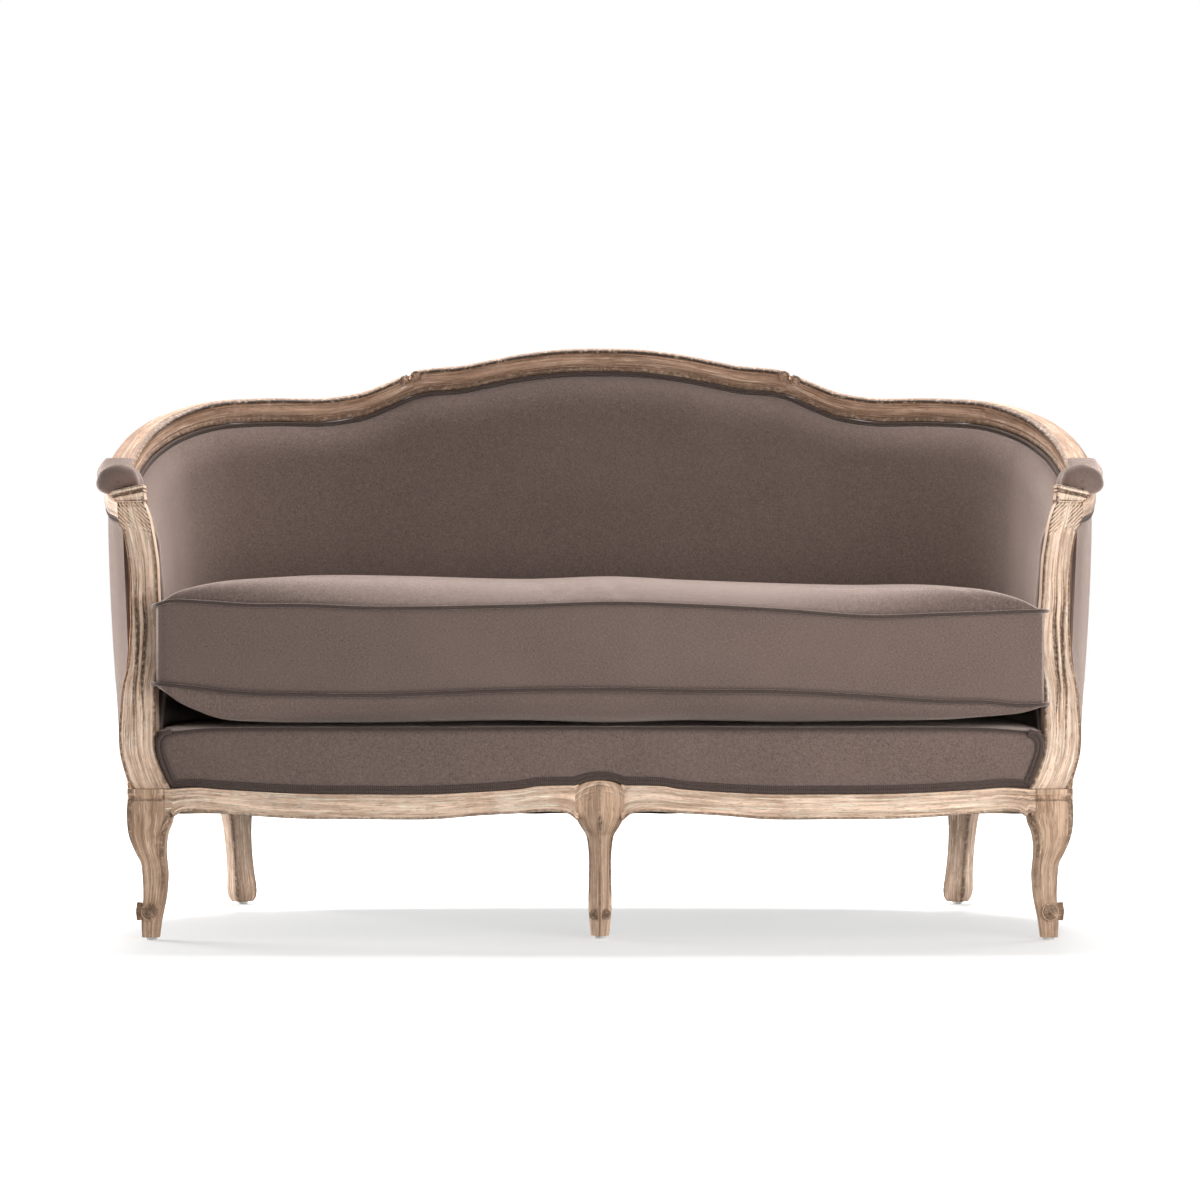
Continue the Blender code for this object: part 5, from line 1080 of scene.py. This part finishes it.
def inside_pad():
    """The padded inside of the arms and the back, in one."""
    end = np.concatenate([np.linspace(0.55, 0.128, 26)[1:], [0.122, 0.118, 0.112, 0.08, 0.03, 0.012]])
    middle = np.linspace(-ARM_END + 0.55, ARM_END - 0.55, 420)
    stations = np.concatenate([-(ARM_END - end[::-1]), middle, ARM_END - end])
    shell, count = Shell(stations), len(stations)
    near_rail = 1 - 0.14 * (1 - np.linspace(0, 1, 16)[1:]) ** 1.5
    shares = np.concatenate([[-0.20, -0.10], np.linspace(0, 0.86, 44), near_rail])
    top = shell.foot - 0.0006 - WELT * 0.55
    height = DECK_TOP + (top[:, None] - DECK_TOP) * shares
    near = np.clip((1 - shares) / 0.13, 0, 1)
    under = RAIL_WIDE - 0.003
    depth = under + (inside_depth(shell, height) - under) * np.sqrt(1 - (1 - near) ** 2)
    back = shell.points(column(count, INSIDE_BACK), column(count, 0.240))
    back_top = shell.points(column(count, INSIDE_BACK), (shell.foot - 0.001)[:, None])
    grid = np.concatenate([back, shell.points(depth, height), back_top], axis=1)
    # its front ends, which face the post, are painted darker as painted shade, with a painted sheen highlight along the
    # roll just behind them
    from_end = (ARM_END - np.abs(stations)) / PER_METRE - WELT
    facing = 0.30 * smooth(0.010, 0.004, from_end) - 0.20 * groove(from_end, 0.014, 0.006)
    return part(grid, "linen", is_cloth=True, reach=0.01, extra=np.broadcast_to(facing[:, None], grid.shape[:2]))


piece("inside_back_soft", [inside_pad()], ["inside_back_pad"])
edge_stations = stations_between(-ARM_END + 0.01, ARM_END - 0.01, 0.005)
cord = welt_on_shell(edge_stations, RAIL_WIDE - 0.001, lambda shell: shell.foot - WELT_CLEAR, -1)
piece("inside_back_welt_cord", [cord], ["inside_back_welt"])
for side, word in SIDES:
    shell = Shell([side * (ARM_END - WELT * 0.5 * PER_METRE)] * 60)
    heights = np.linspace(DECK_TOP + 0.001, shell.foot[0] - WELT - 0.001, 60)[:, None]
    line = shell.points(column(60, 0.0425), heights)[:, 0]
    outs = lifted(-shell.out_low)
    downs = np.cross(np.tile(UP, (60, 1)), outs)
    piece(f"inside_arm_welt_{word}_cord", [welt(line, outs, downs)], [f"inside_arm_welt_{word}"])


PANEL_BULGE, PANEL_THICK, POST_CLEAR, PANEL_RUN_IN, RUN_IN_STATIONS = 0.006, 0.0055, 0.0015, 0.026, 1.8


def outside_panel(start, end):
    """The cloth outside, drawn tight between two stations."""
    shell = Shell(stations_between(start, end, 0.008))
    count = len(shell.stations)
    shares = np.linspace(0, 1, 34)
    low = SEAT_RAIL_TOP + 0.0005
    height = low + (shell.foot[:, None] - 0.0008 - low) * shares
    bulge = PANEL_BULGE * np.sin(np.clip((shares - 0.03) / 0.94, 0, 1) * math.pi) ** 0.6
    inward = PANEL_BULGE - bulge + tuck(shell.stations) * smooth(0.285, 0.235, height)
    # the cloth runs in to the post's outer edge
    flat = height.reshape(1, -1)
    at_post = np.abs(Shell([ARM_END]).points(0 * flat, flat)[0, :, 0]).reshape(height.shape)
    gap = np.clip(at_post - post_outer(height) - POST_CLEAR - inward, 0, PANEL_RUN_IN)
    inward = inward + gap * np.clip((np.abs(shell.stations) - ARM_END) / RUN_IN_STATIONS + 1, 0, 1)[:, None]
    front = shell.points(inward, height)
    back = shell.points(inward[:, -1:] + PANEL_THICK, height[:, -1:])
    back_low = shell.points(inward[:, :1] + PANEL_THICK, height[:, :1])
    return part(np.concatenate([back_low, front, back], axis=1), "linen", is_cloth=True, reach=0.01)


for side, word in SIDES:
    panel = outside_panel(side * (REAR_LEG_STATION + 0.006), side * (ARM_END - 0.01))
    piece(f"outside_arm_{word}_cloth", [panel], [f"outside_arm_panel_{word}"])
panel = outside_panel(-REAR_LEG_STATION + 0.006, REAR_LEG_STATION - 0.006)
piece("outside_back_cloth", [panel], ["outside_back_panel"])
foot_top = SEAT_RAIL_TOP + WELT_CLEAR + WELT
outside_welts = {
    "top": lambda shell: shell.foot - WELT_CLEAR,
    "foot": lambda shell: np.full_like(shell.foot, foot_top),
}
for word, top_of in outside_welts.items():
    cord = welt_on_shell(edge_stations, 0.0058, top_of, 1)
    piece(f"outside_{word}_welt_cord", [cord], [f"outside_{word}_welt"])

# The elbow pad's section, in shares of its width and height
ELBOW_SECTION = (
    (0.13, 0.00), (-0.20, 0.06), (-0.48, 0.20), (-0.55, 0.45), (-0.32, 0.81), (0.30, 1.00), (0.90, 0.85), (1.13, 0.50),
    (1.12, 0.22), (1.00, 0.02),
)
# Share of its length from the nose back, and shares of its height and width there
ELBOW_TALL = (
    (0.00, 1.00, 1.02), (0.03, 0.99, 1.00), (0.08, 0.92, 0.96), (0.16, 0.80, 0.90), (0.36, 0.60, 0.86),
    (0.55, 0.46, 0.84), (0.73, 0.32, 0.80), (0.88, 0.17, 0.74), (1.00, 0.05, 0.66),
)
# The nose: its shift outward and the middle it rounds off to, in shares of the width, and how far it comes forward
NOSE_SHIFT, NOSE_ACROSS, NOSE_FORWARD = 0.40, 0.05, 0.0150
ELBOW_TOP, ELBOW_INSET, ELBOW_START, ELBOW_END = 0.051, 0.003, ARM_END - 0.012, 14.25


def elbow_pad(side):
    """A stuffed pad on the arm rail: a round nose behind the post, hanging over the rail's outer side."""
    near = [0.0] * 7 + [0.006, 0.014, 0.025, 0.045, 0.07, 0.10, 0.13]
    shares = np.concatenate([near, np.linspace(0.16, 0.985, 46), [0.995, 1.0]])
    size = np.array([0.10, 0.34, 0.56, 0.74, 0.87, 0.96] + [1.0] * (len(shares) - 6))
    shell = Shell(side * (ELBOW_START - shares * (ELBOW_START - ELBOW_END)))
    section = through(ELBOW_SECTION + ((0.9, 0.0), (0.5, 0.0), (0.2, 0.0)), 5, closed=True)
    tall, spread = curve(ELBOW_TALL, np.clip(shares, 0.012, 1)).T[:, :, None]
    tall, wide = tall * ELBOW_TOP, RAIL_WIDE - 2 * ELBOW_INSET
    rebate = np.minimum(WELT * 0.45, tall * 0.2)
    across = 0.5 + (section[:, 0] - 0.5) * spread - NOSE_SHIFT * smooth(0.16, 0.01, shares)[:, None]
    up = np.where(section[:, 1] > 0.01, rebate + section[:, 1] * (tall - rebate), 0.0)
    nose_up = tall * 0.48
    across = -NOSE_ACROSS + (across + NOSE_ACROSS) * size[:, None]
    up = nose_up + (up - nose_up) * size[:, None]
    grid = shell.points(ELBOW_INSET + across * wide, shell.top[:, None] + 0.0006 + up)
    # the nose comes forward over the cap, and beside it on the outer side
    over_cap = smooth(0.6485, 0.6500, grid[..., 2] - POST_TILT * (across - 0.5) * wide)
    beside = smooth(-0.02, -0.14, across)
    grid[..., 1] -= NOSE_FORWARD * np.sqrt(1 - size[:, None] ** 2) * np.maximum(over_cap, beside)
    # the nose is painted paler towards its front: a painted sheen highlight
    painted_nose_sheen = np.broadcast_to(-0.17 * smooth(0.40, 0.10, shares)[:, None], grid.shape[:2])
    return part(grid, "linen", is_cloth=True, reach=0.002, extra=painted_nose_sheen)


for side, word in SIDES:
    piece(f"elbow_pad_{word}_soft", [elbow_pad(side)], [f"elbow_pad_{word}"])
    stations = side * (ELBOW_START - np.linspace(0.02, 0.64, 70) * (ELBOW_START - ELBOW_END))
    cord = welt_on_shell(stations, ELBOW_INSET + 0.0048, lambda shell: shell.top + 0.0008 + WELT, 1)
    piece(f"elbow_welt_{word}_cord", [cord], [f"elbow_welt_{word}"])


# ---------------------------------------------------------------- deck, border, dust cover
# The border's section: share of its depth back from the face, and share of its height
BORDER_PROFILE = (
    (1.0, 0.0), (0.3, 0.0), (0.02, 0.0), (0.0, 0.05), (-0.03, 0.30), (-0.05, 0.55), (0.0, 0.78), (0.14, 0.93),
    (0.36, 1.0), (0.7, 1.0), (1.0, 0.97),
)
BORDER_WELT = 0.0118


def border_part():
    """The deck's padded front border, between the posts and over the rail."""
    profile = through(BORDER_PROFILE, 4)
    grid = []
    for share in np.linspace(-1, 1, 260):
        guess = front_top(share * 0.615) + FIT
        x = share * (post_inner(guess + (DECK_TOP - guess) * profile[:, 1]) - 0.001)
        foot = front_top(x) + FIT
        end = abs(share) ** 14
        y = front_face(x) + 0.005 + profile[:, 0] * 0.016 + end * 0.002
        z = foot + (DECK_TOP - foot) * profile[:, 1] - end * 0.012 * smooth(0.5, 1.0, profile[:, 1])
        grid.append(np.stack([x, y, z], -1))
    return part(np.array(grid), "linen", is_cloth=True, reach=0.008)


piece("deck_border_soft", [border_part()], ["deck_front_border"])
DECK_WELT_END, SIDE_WELT_TOP, SIDE_WELT_BEND = 0.612, 0.280, 0.016
across = np.linspace(-DECK_WELT_END, DECK_WELT_END, 240)
line = np.stack([across, front_face(across) + 0.0052, front_top(across) + 0.0006 + BORDER_WELT / 2], -1)
slope = np.gradient(line[:, 2], across)
downs = unit(np.stack([slope, 0 * slope, -np.ones_like(slope)], -1))
forward = np.tile([0, -1.0, 0], (240, 1))
piece("deck_front_welt_cord", [welt(line, forward, downs, BORDER_WELT)], ["deck_front_welt"])
for side, word in SIDES:
    heights = np.linspace(front_top(DECK_WELT_END) + 0.006, SIDE_WELT_TOP, 30)
    inner = post_inner(heights) - 0.0012 - BORDER_WELT / 2
    turns = np.linspace(0.12, math.pi / 2, 10)
    heights = np.append(heights, SIDE_WELT_TOP + SIDE_WELT_BEND * np.sin(turns))
    inner = np.append(inner, inner[-1] - SIDE_WELT_BEND * (1 - np.cos(turns)))
    line = np.stack([side * inner, front_face(inner) + 0.0048, heights], -1)
    downs = np.cross(unit(np.gradient(line, axis=0)), forward[:40])
    cord = welt(line, forward[:40], downs, BORDER_WELT)
    piece(f"deck_side_welt_{word}_cord", [cord], [f"deck_side_welt_{word}"])


def flat_grid(depth, height, front, reach, shares, count=150):
    """Rows in plan from a line across the front to the shell at a depth, the same number of points in each."""
    across = np.linspace(-reach, reach, count)
    near = np.stack([across, front(across)], -1)
    shell = Shell(np.linspace(-ARM_END, ARM_END, 400))
    far = shell.points(column(400, depth), column(400, height))[:, 0, :2]
    far[:, 0] = np.clip(far[:, 0], -reach, reach)
    far = resample(far[far[:, 1] > near[0, 1] - 0.002], count)
    return [near * (1 - share) + far * share for share in shares]


# How far the deck's edge lies below its nominal top, how far its middle rises over the edge, and its underside
DECK_EDGE, DECK_CROWN, DECK_FOOT = 0.006, 0.0045, 0.249


def deck_part():
    """The deck that the cushion lies on: it fills the room between the border and the inside pad."""
    reach = float(post_inner(0.27)[0]) - 0.0012
    shares = np.concatenate([[0, 0.01, 0.03], np.linspace(0.06, 0.94, 24), [0.97, 0.99, 1.0]])
    rows = flat_grid(INSIDE_LOW + 0.001, 0.29, lambda x: front_face(x) + 0.0225, reach, shares)
    ends = 1 - np.abs(np.linspace(-1, 1, 150)) ** 20
    made = []
    for share, plan in zip(shares, rows):
        z = DECK_TOP - DECK_EDGE + DECK_CROWN * math.sin(math.pi * share) ** 0.5 * ends
        made.append(np.concatenate([plan, z[:, None]], 1))
    made += [np.concatenate([plan, column(150, DECK_FOOT)], 1) for plan in (rows[-1], rows[0])]
    return part(np.stack(made, 1), "linen", is_cloth=True, reach=0.01)


piece("seat_deck_soft", [deck_part()], ["seat_deck"])


def dust_cover():
    """Black cloth stretched under the seat, its turned edge tacked every 45 mm."""
    low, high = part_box("dust_cover")
    shares = np.concatenate([np.linspace(0, 0.03, 4), np.linspace(0.05, 0.95, 32), np.linspace(0.97, 1, 4)])
    rows = flat_grid(0.0432, high[2], lambda x: np.full_like(x, low[1] + 0.0002), high[0] - 0.002, shares)
    u = np.linspace(-1, 1, 150)
    tacks, made = 42, []
    for thick in (0.0003, 0.0011):
        layer = []
        for share, plan in zip(shares, rows):
            middle = (1 - np.abs(u) ** 8) * (1 - abs(2 * share - 1) ** 6)
            pull = 0.0004 * np.cos(u * tacks * math.pi / 2) * (1 - middle) ** 2 - 0.0016 * middle
            layer.append(np.concatenate([plan, (high[2] - thick + pull - 0.0004)[:, None]], 1))
        made.append(layer if thick < 0.001 else layer[::-1])
    grid = np.stack(made[0] + made[1], 1)
    made = part(grid, "dust_cloth", is_cloth=True, reach=0.01)
    cloth = piece("dust_cover_cloth", [made], ["dust_cover"])
    plan = np.array(rows)


dust_cover()


# ---------------------------------------------------------------- the loose cushion
LOW_SEAM, HIGH_SEAM = 0.352, 0.478
CUSHION_INWARD, CORNER_SWELL = 0.077, 0.0115
CUSHION_HALF = float(post_inner(np.linspace(LOW_SEAM, HIGH_SEAM, 15)).min()) - 0.0048
# The front of the cushion from left to right: both seams, the lowest line of its underside, and its crown, in metres
CUSHION_FRONT = (
    (-0.645, 0.368, 0.474, 0.362, 0.478), (-0.613, 0.365, 0.485, 0.345, 0.500), (-0.590, 0.363, 0.485, 0.332, 0.509),
    (-0.543, 0.357, 0.482, 0.314, 0.519), (-0.495, 0.353, 0.479, 0.3095, 0.523), (-0.425, 0.352, 0.479, 0.3075, 0.526),
    (-0.314, 0.351, 0.475, 0.307, 0.525), (-0.117, 0.358, 0.478, 0.310, 0.520), (0.014, 0.359, 0.482, 0.307, 0.524),
    (0.122, 0.357, 0.479, 0.310, 0.519), (0.256, 0.356, 0.472, 0.308, 0.514), (0.382, 0.349, 0.463, 0.310, 0.511),
    (0.485, 0.342, 0.466, 0.312, 0.512), (0.550, 0.341, 0.468, 0.317, 0.507), (0.599, 0.336, 0.470, 0.322, 0.494),
    (0.640, 0.338, 0.471, 0.330, 0.474),
)
# Folds of the top: where each starts and ends (metres across, share of the depth), half its width and its depth in mm
FOLDS = (
    (-0.060, 0.00, -0.100, 0.16, 8, 2.2), (-0.030, 0.10, -0.072, 0.00, 7, 1.6), (0.036, 0.00, -0.006, 0.20, 9, 2.6),
    (0.060, 0.12, 0.022, 0.00, 6, 1.4), (-0.560, 0.04, -0.500, 0.30, 10, 2.0), (0.560, 0.04, 0.480, 0.26, 10, 2.0),
)


def cushion_lines(count=128):
    """The seam's front and back halves in plan, from the left front corner to the right one."""
    height = DECK_TOP + (Shell([0.0]).foot[0] - DECK_TOP) * 0.18
    back = Shell(np.linspace(16.6, -16.6, 500)).points(column(500, CUSHION_INWARD), column(500, height))[:, 0, :2]
    corner, bow = 0.024, 0.010
    turns = np.linspace(0, math.pi / 2, 24)
    front_y = FIT - HALF_DEPTH + 0.004
    left_x = -(CUSHION_HALF - corner + corner * np.cos(turns))
    left = np.stack([left_x, front_y + bow + corner - corner * np.sin(turns)], -1)
    xs = np.linspace(-0.97, 0.97, 60)
    middle = np.stack([xs * (CUSHION_HALF - corner), front_y + bow * xs**2], -1)
    right = left[::-1] * [-1, 1]
    front = resample(np.concatenate([left[12:], middle, right[:12]]), count)
    rear = resample(np.concatenate([left[:13][::-1], back[::-1], right[11:][::-1]]), count)
    # the front corners swell out before the posts
    for line in (front, rear):
        forward, outward = smooth(-0.298, -0.323, line[:, 1]), smooth(0.40, 0.60, np.abs(line[:, 0]))
        line[:, 0] += np.sign(line[:, 0]) * CORNER_SWELL * forward * outward
    return front, rear


def cushion_surface():
    """The cushion's closed surface: its points, its faces with the lay of their threads, its top as a grid of points,
    and both seams."""
    front, rear = cushion_lines()
    count, deep, border_rows = len(front), 52, 9
    verts, faces, lay = [], [], []
    to_side = np.minimum(np.arange(count), count - 1 - np.arange(count)) / count
    side_full = 1 - (1 - np.clip(to_side / 0.025, 0, 1)) ** 2.2

    def panel(seam_column, nominal, far_column, lift, near_reach):
        """A panel between the front and the back halves of its seam. It follows the front's table there."""
        grid = np.zeros((deep, count), int)
        for row in range(deep):
            share = row / (deep - 1)
            line = front * (1 - share) + rear * share
            shape = curve(CUSHION_FRONT, line[:, 0])
            level = nominal + (shape[:, seam_column] - nominal) * (1 - smooth(-0.31, 0.0, line[:, 1]))
            full = 1 - (1 - min(1.0, share / near_reach, (1 - share) / (near_reach * 0.8))) ** 2.3
            height = level + (shape[:, far_column] + lift - level) * (full * side_full)
            grid[row] = np.arange(count) + len(verts)
            verts.extend(zip(line[:, 0], line[:, 1], height))
        return grid

    def loop(grid):
        return [*grid[0, :], *grid[1:, -1], *grid[-1, -2::-1], *grid[-2:0:-1, 0]]

    top, low = panel(1, HIGH_SEAM, 3, -0.006, 0.20), panel(0, LOW_SEAM, 2, 0.003, 0.10)
    top_loop, low_loop = loop(top), loop(low)
    rings = [low_loop]
    for step in range(1, border_rows):
        rings.append(list(range(len(verts), len(verts) + len(low_loop))))
        share = step / border_rows
        for a, b in zip(low_loop, top_loop):
            verts.append(tuple(np.array(verts[a]) * (1 - share) + np.array(verts[b]) * share))
    rings.append(top_loop)
    for grid, is_low in ((top, False), (low, True)):
        for i in range(deep - 1):
            for j in range(count - 1):
                face = [grid[i, j], grid[i, j + 1], grid[i + 1, j + 1], grid[i + 1, j]]
                faces.append(face[::-1] if is_low else face)
                lay.append([(verts[index][1], verts[index][0], 0.0 if is_low else 0.5) for index in faces[-1]])
    sides = zip(low_loop, low_loop[1:] + low_loop[:1])
    runs = np.append(0, np.cumsum([math.dist(verts[a], verts[b]) for a, b in sides]))
    row_tall = (HIGH_SEAM - LOW_SEAM) / border_rows
    for step, (ring, following) in enumerate(zip(rings, rings[1:])):
        z, up = step * row_tall, (step + 1) * row_tall
        for k in range(len(ring)):
            after = (k + 1) % len(ring)
            faces.append([ring[k], ring[after], following[after], following[k]])
            lay.append([(z, runs[k], 1.0), (z, runs[k + 1], 1.0), (up, runs[k + 1], 1.0), (up, runs[k], 1.0)])
    return np.array(verts, float), np.array(faces).tolist(), lay, top, top_loop, low_loop


def cushion_object():
    """The cushion with the folds of its top, and its two seams."""
    co, faces, lay, top, top_loop, low_loop = cushion_surface()
    shares = np.broadcast_to(np.linspace(0, 1, len(top))[:, None], top.shape)
    depth_wide = 0.6
    for x0, s0, x1, s1, half, depth in FOLDS:
        start, run = np.array([x0, s0 * depth_wide]), np.array([x1 - x0, (s1 - s0) * depth_wide])
        here = np.stack([co[top][..., 0], shares * depth_wide], -1) - start
        t = np.clip((here @ run) / (run @ run), 0, 1)
        away = np.linalg.norm(here - t[..., None] * run, axis=-1)
        fold = depth * 0.001 * groove(away, 0, half * 0.001) * np.sin(math.pi * np.clip(t, 0.06, 0.94))
        co[top, 2] -= fold * (shares > 0)
    co[:, 2] = np.maximum(co[:, 2], DECK_TOP + 0.002)
    hollow = np.zeros(len(co))
    # a soft painted shadow along both seams, beside the piping
    hollow[top_loop], hollow[low_loop] = 0.09, 0.13
    item = mesh_object("seat_cushion_soft", co.tolist(), faces, lay, hollow, ["linen"])
    soft = item.modifiers.new("smooth", "SUBSURF")
    soft.levels = soft.render_levels = 1
    return item, co[top_loop], co[low_loop]


def piping(seam):
    """A covered cord along a seam."""
    seam = resample(np.vstack([seam, seam[:1]]), 520)[:-1]
    run = np.roll(seam, -1, axis=0) - np.roll(seam, 1, axis=0)
    out = unit(np.cross(unit(run), UP))
    turns = round_turns(12)
    ring = np.cos(turns)[None, :, None] * out[:, None] + np.sin(turns)[None, :, None] * UP
    grid = (seam + out * 0.0028)[:, None] + ring * 0.0031
    # painted shade, dark, on the cord's top and underside beside the cushion
    beside = np.broadcast_to(0.32 * np.abs(np.sin(turns)) ** 3, grid.shape[:2])
    return part(grid, "linen", closed=(True, True), is_cloth=True, reach=0.002, extra=beside)


cushion, top_seam, low_seam = cushion_object()
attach(cushion, "cushion")
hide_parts("seat_cushion")
for seam, word in ((top_seam, "top"), (low_seam, "bottom")):
    piece(f"cushion_piping_{word}_cord", [piping(seam)], [f"cushion_piping_{word}"], body="cushion")


# The zip in mm: its tape's section, each row of teeth between two heights, with its shift along the zip in pitches, and
# the slider and its puller (length, width, thickness, distance off the tape, distance along it)
TAPE = ((-12, -1.5), (-12, 0.2), (-11, 0.4), (11, 0.4), (12, 0.2), (12, -1.5))
TEETH = ((0.0, -2.4, 0.4), (0.5, -0.4, 2.4))
SLIDER = ((0.0090, 0.0080, 0.0036, 0.0018, 0.0), (0.0230, 0.0060, 0.0012, 0.0040, 0.0110))
TOOTH_PITCH, ZIP_REACH = 0.0024, 0.350


def zip_parts(count=900):
    """The closed zip along the back: a woven tape, two rows of teeth, and the slider with its puller."""
    _, rear = cushion_lines()
    line = resample(rear[(rear[:, 1] > 0) & (np.abs(rear[:, 0]) < ZIP_REACH)], count)
    run = np.gradient(line, axis=0)
    out = unit(np.stack([-run[:, 1], run[:, 0]], -1))
    out = lifted(out * np.where(out[:, 1:] > 0, 1, -1))
    line = lifted(line, (LOW_SEAM + HIGH_SEAM) / 2)
    a, b = np.array(TAPE).T[:, None, :, None] / 1000
    made = [part(line[:, None] + UP * a + out[:, None] * b, "welt", is_cloth=True)]
    for phase, low, high in TEETH:
        a = np.array([low, low, (low + high) / 2, high, high])[None, :, None] / 1000
        along = (np.arange(count) / count * 2 * ZIP_REACH / TOOTH_PITCH + phase) % 1
        tooth = smooth(0.2, 0.5, np.abs(along - 0.5) * 2)
        b = (0.3 + tooth[:, None] * np.array([0, 0.7, 0.9, 0.7, 0]))[..., None] / 1000
        made.append(part(line[:, None] + UP * a + out[:, None] * b, "zip", reach=0.001))
    place, outward = line[-20], out[-20]
    along = np.cross(outward, UP)
    for length, wide, thick, away, aside in SLIDER:
        rows = []
        for t in np.linspace(-1, 1, 15):
            swell = math.sqrt(1 - min(0.999, abs(t) ** 6)) * 0.9 + 0.1
            ring = rounded(UP * wide / 2 * swell, outward * thick / 2, 3.0, 16)
            rows.append(place + outward * away + along * (aside + t * length / 2) + ring)
        made.append(part(np.array(rows), "steel", reach=0.001))
    return made


piece("cushion_zip_closed", zip_parts(), ["cushion_zip"], body="cushion")


# ---------------------------------------------------------------- camera, lights, floor
scene = bpy.context.scene
camera_data = bpy.data.cameras.new("camera")
camera_data.lens, camera_data.sensor_width, camera_data.shift_y = 126.0, 36.0, -0.0371
camera = bpy.data.objects.new("camera", camera_data)
camera.location, camera.rotation_euler = (0.0, -6.33, 0.55), (math.pi / 2, 0, 0)
scene.collection.objects.link(camera)
scene.camera = camera
scene.view_settings.view_transform = "Standard"


def lamp(name, place, target, size, power):
    data = bpy.data.lights.new(name, "AREA")
    data.shape = "RECTANGLE"
    data.size, data.size_y = size
    data.energy = power
    item = bpy.data.objects.new(name, data)
    item.location = place
    item.rotation_euler = (Vector(target) - Vector(place)).to_track_quat("-Z", "Y").to_euler()
    item.visible_camera = False
    scene.collection.objects.link(item)


# Where each lamp stands, what it points at, its size and its power
LAMPS = {
    "over": ((0, 0.95, 2.5), (0, 0.0, 0.4), (2.2, 1.0), 135),
    "left": ((-2.6, 1.1, 0.46), (-0.5, 0, 0.40), (1.4, 0.8), 120),
    "right": ((2.6, 1.1, 0.46), (0.5, 0, 0.40), (1.4, 0.8), 50),
    "front": ((1.1, -2.3, 0.7), (0.05, 0, 0.38), (2.0, 0.9), 36),
}
for name, settings in LAMPS.items():
    lamp(name, *settings)

FLOOR_RADIUS, FLOOR_CORNERS = 12, 64
rim = [(FLOOR_RADIUS * math.cos(t), FLOOR_RADIUS * math.sin(t), 0.0) for t in round_turns(FLOOR_CORNERS)]
floor_mesh = bpy.data.meshes.new("floor")
floor_mesh.from_pydata(rim, [], [list(range(FLOOR_CORNERS))])
floor = bpy.data.objects.new("floor", floor_mesh)
scene.collection.objects.link(floor)


def floor_look():
    """A pale floor that goes over into the white background, and keeps the shadows near the settee."""
    n = Nodes("pale_floor")
    place = n.place()
    cloud = n.band(n.noise(place, 2.0, 2.0), 0.3, 0.7)
    away = n.new("ShaderNodeVectorMath", "Value", {0: place}, operation="LENGTH")
    glow = n.band(away, 0.85, 2.6, 0.42, 1.1)
    return n.surface(
        {
            "Base Color": n.mix(cloud, (0.62, 0.62, 0.615), (0.65, 0.65, 0.645)),
            "Roughness": 0.7,
            "Specular IOR Level": 0.1,
            "Emission Strength": n.product(glow, n.new("ShaderNodeLightPath", "Is Camera Ray")),
            "Emission Color": (1, 1, 1, 1),
        }
    )


floor_mesh.materials.append(floor_look())

world = bpy.data.worlds.new("studio")
scene.world = world
world.use_nodes = True
links, nodes = world.node_tree.links, world.node_tree.nodes
path = nodes.new("ShaderNodeLightPath")
seen = path.outputs["Is Camera Ray"]
for ray in ("Is Glossy Ray", "Is Transmission Ray"):
    either = nodes.new("ShaderNodeMath")
    either.operation = "MAXIMUM"
    links.new(seen, either.inputs[0])
    links.new(path.outputs[ray], either.inputs[1])
    seen = either.outputs[0]
strength = nodes.new("ShaderNodeMapRange")
links.new(seen, strength.inputs["Value"])
# the world's light, and the white that the camera sees
strength.inputs["To Min"].default_value, strength.inputs["To Max"].default_value = 0.26, 1.0
links.new(strength.outputs["Result"], nodes["Background"].inputs["Strength"])
nodes["Background"].inputs["Color"].default_value = (1, 1, 1, 1)

bpy.context.view_layer.update()
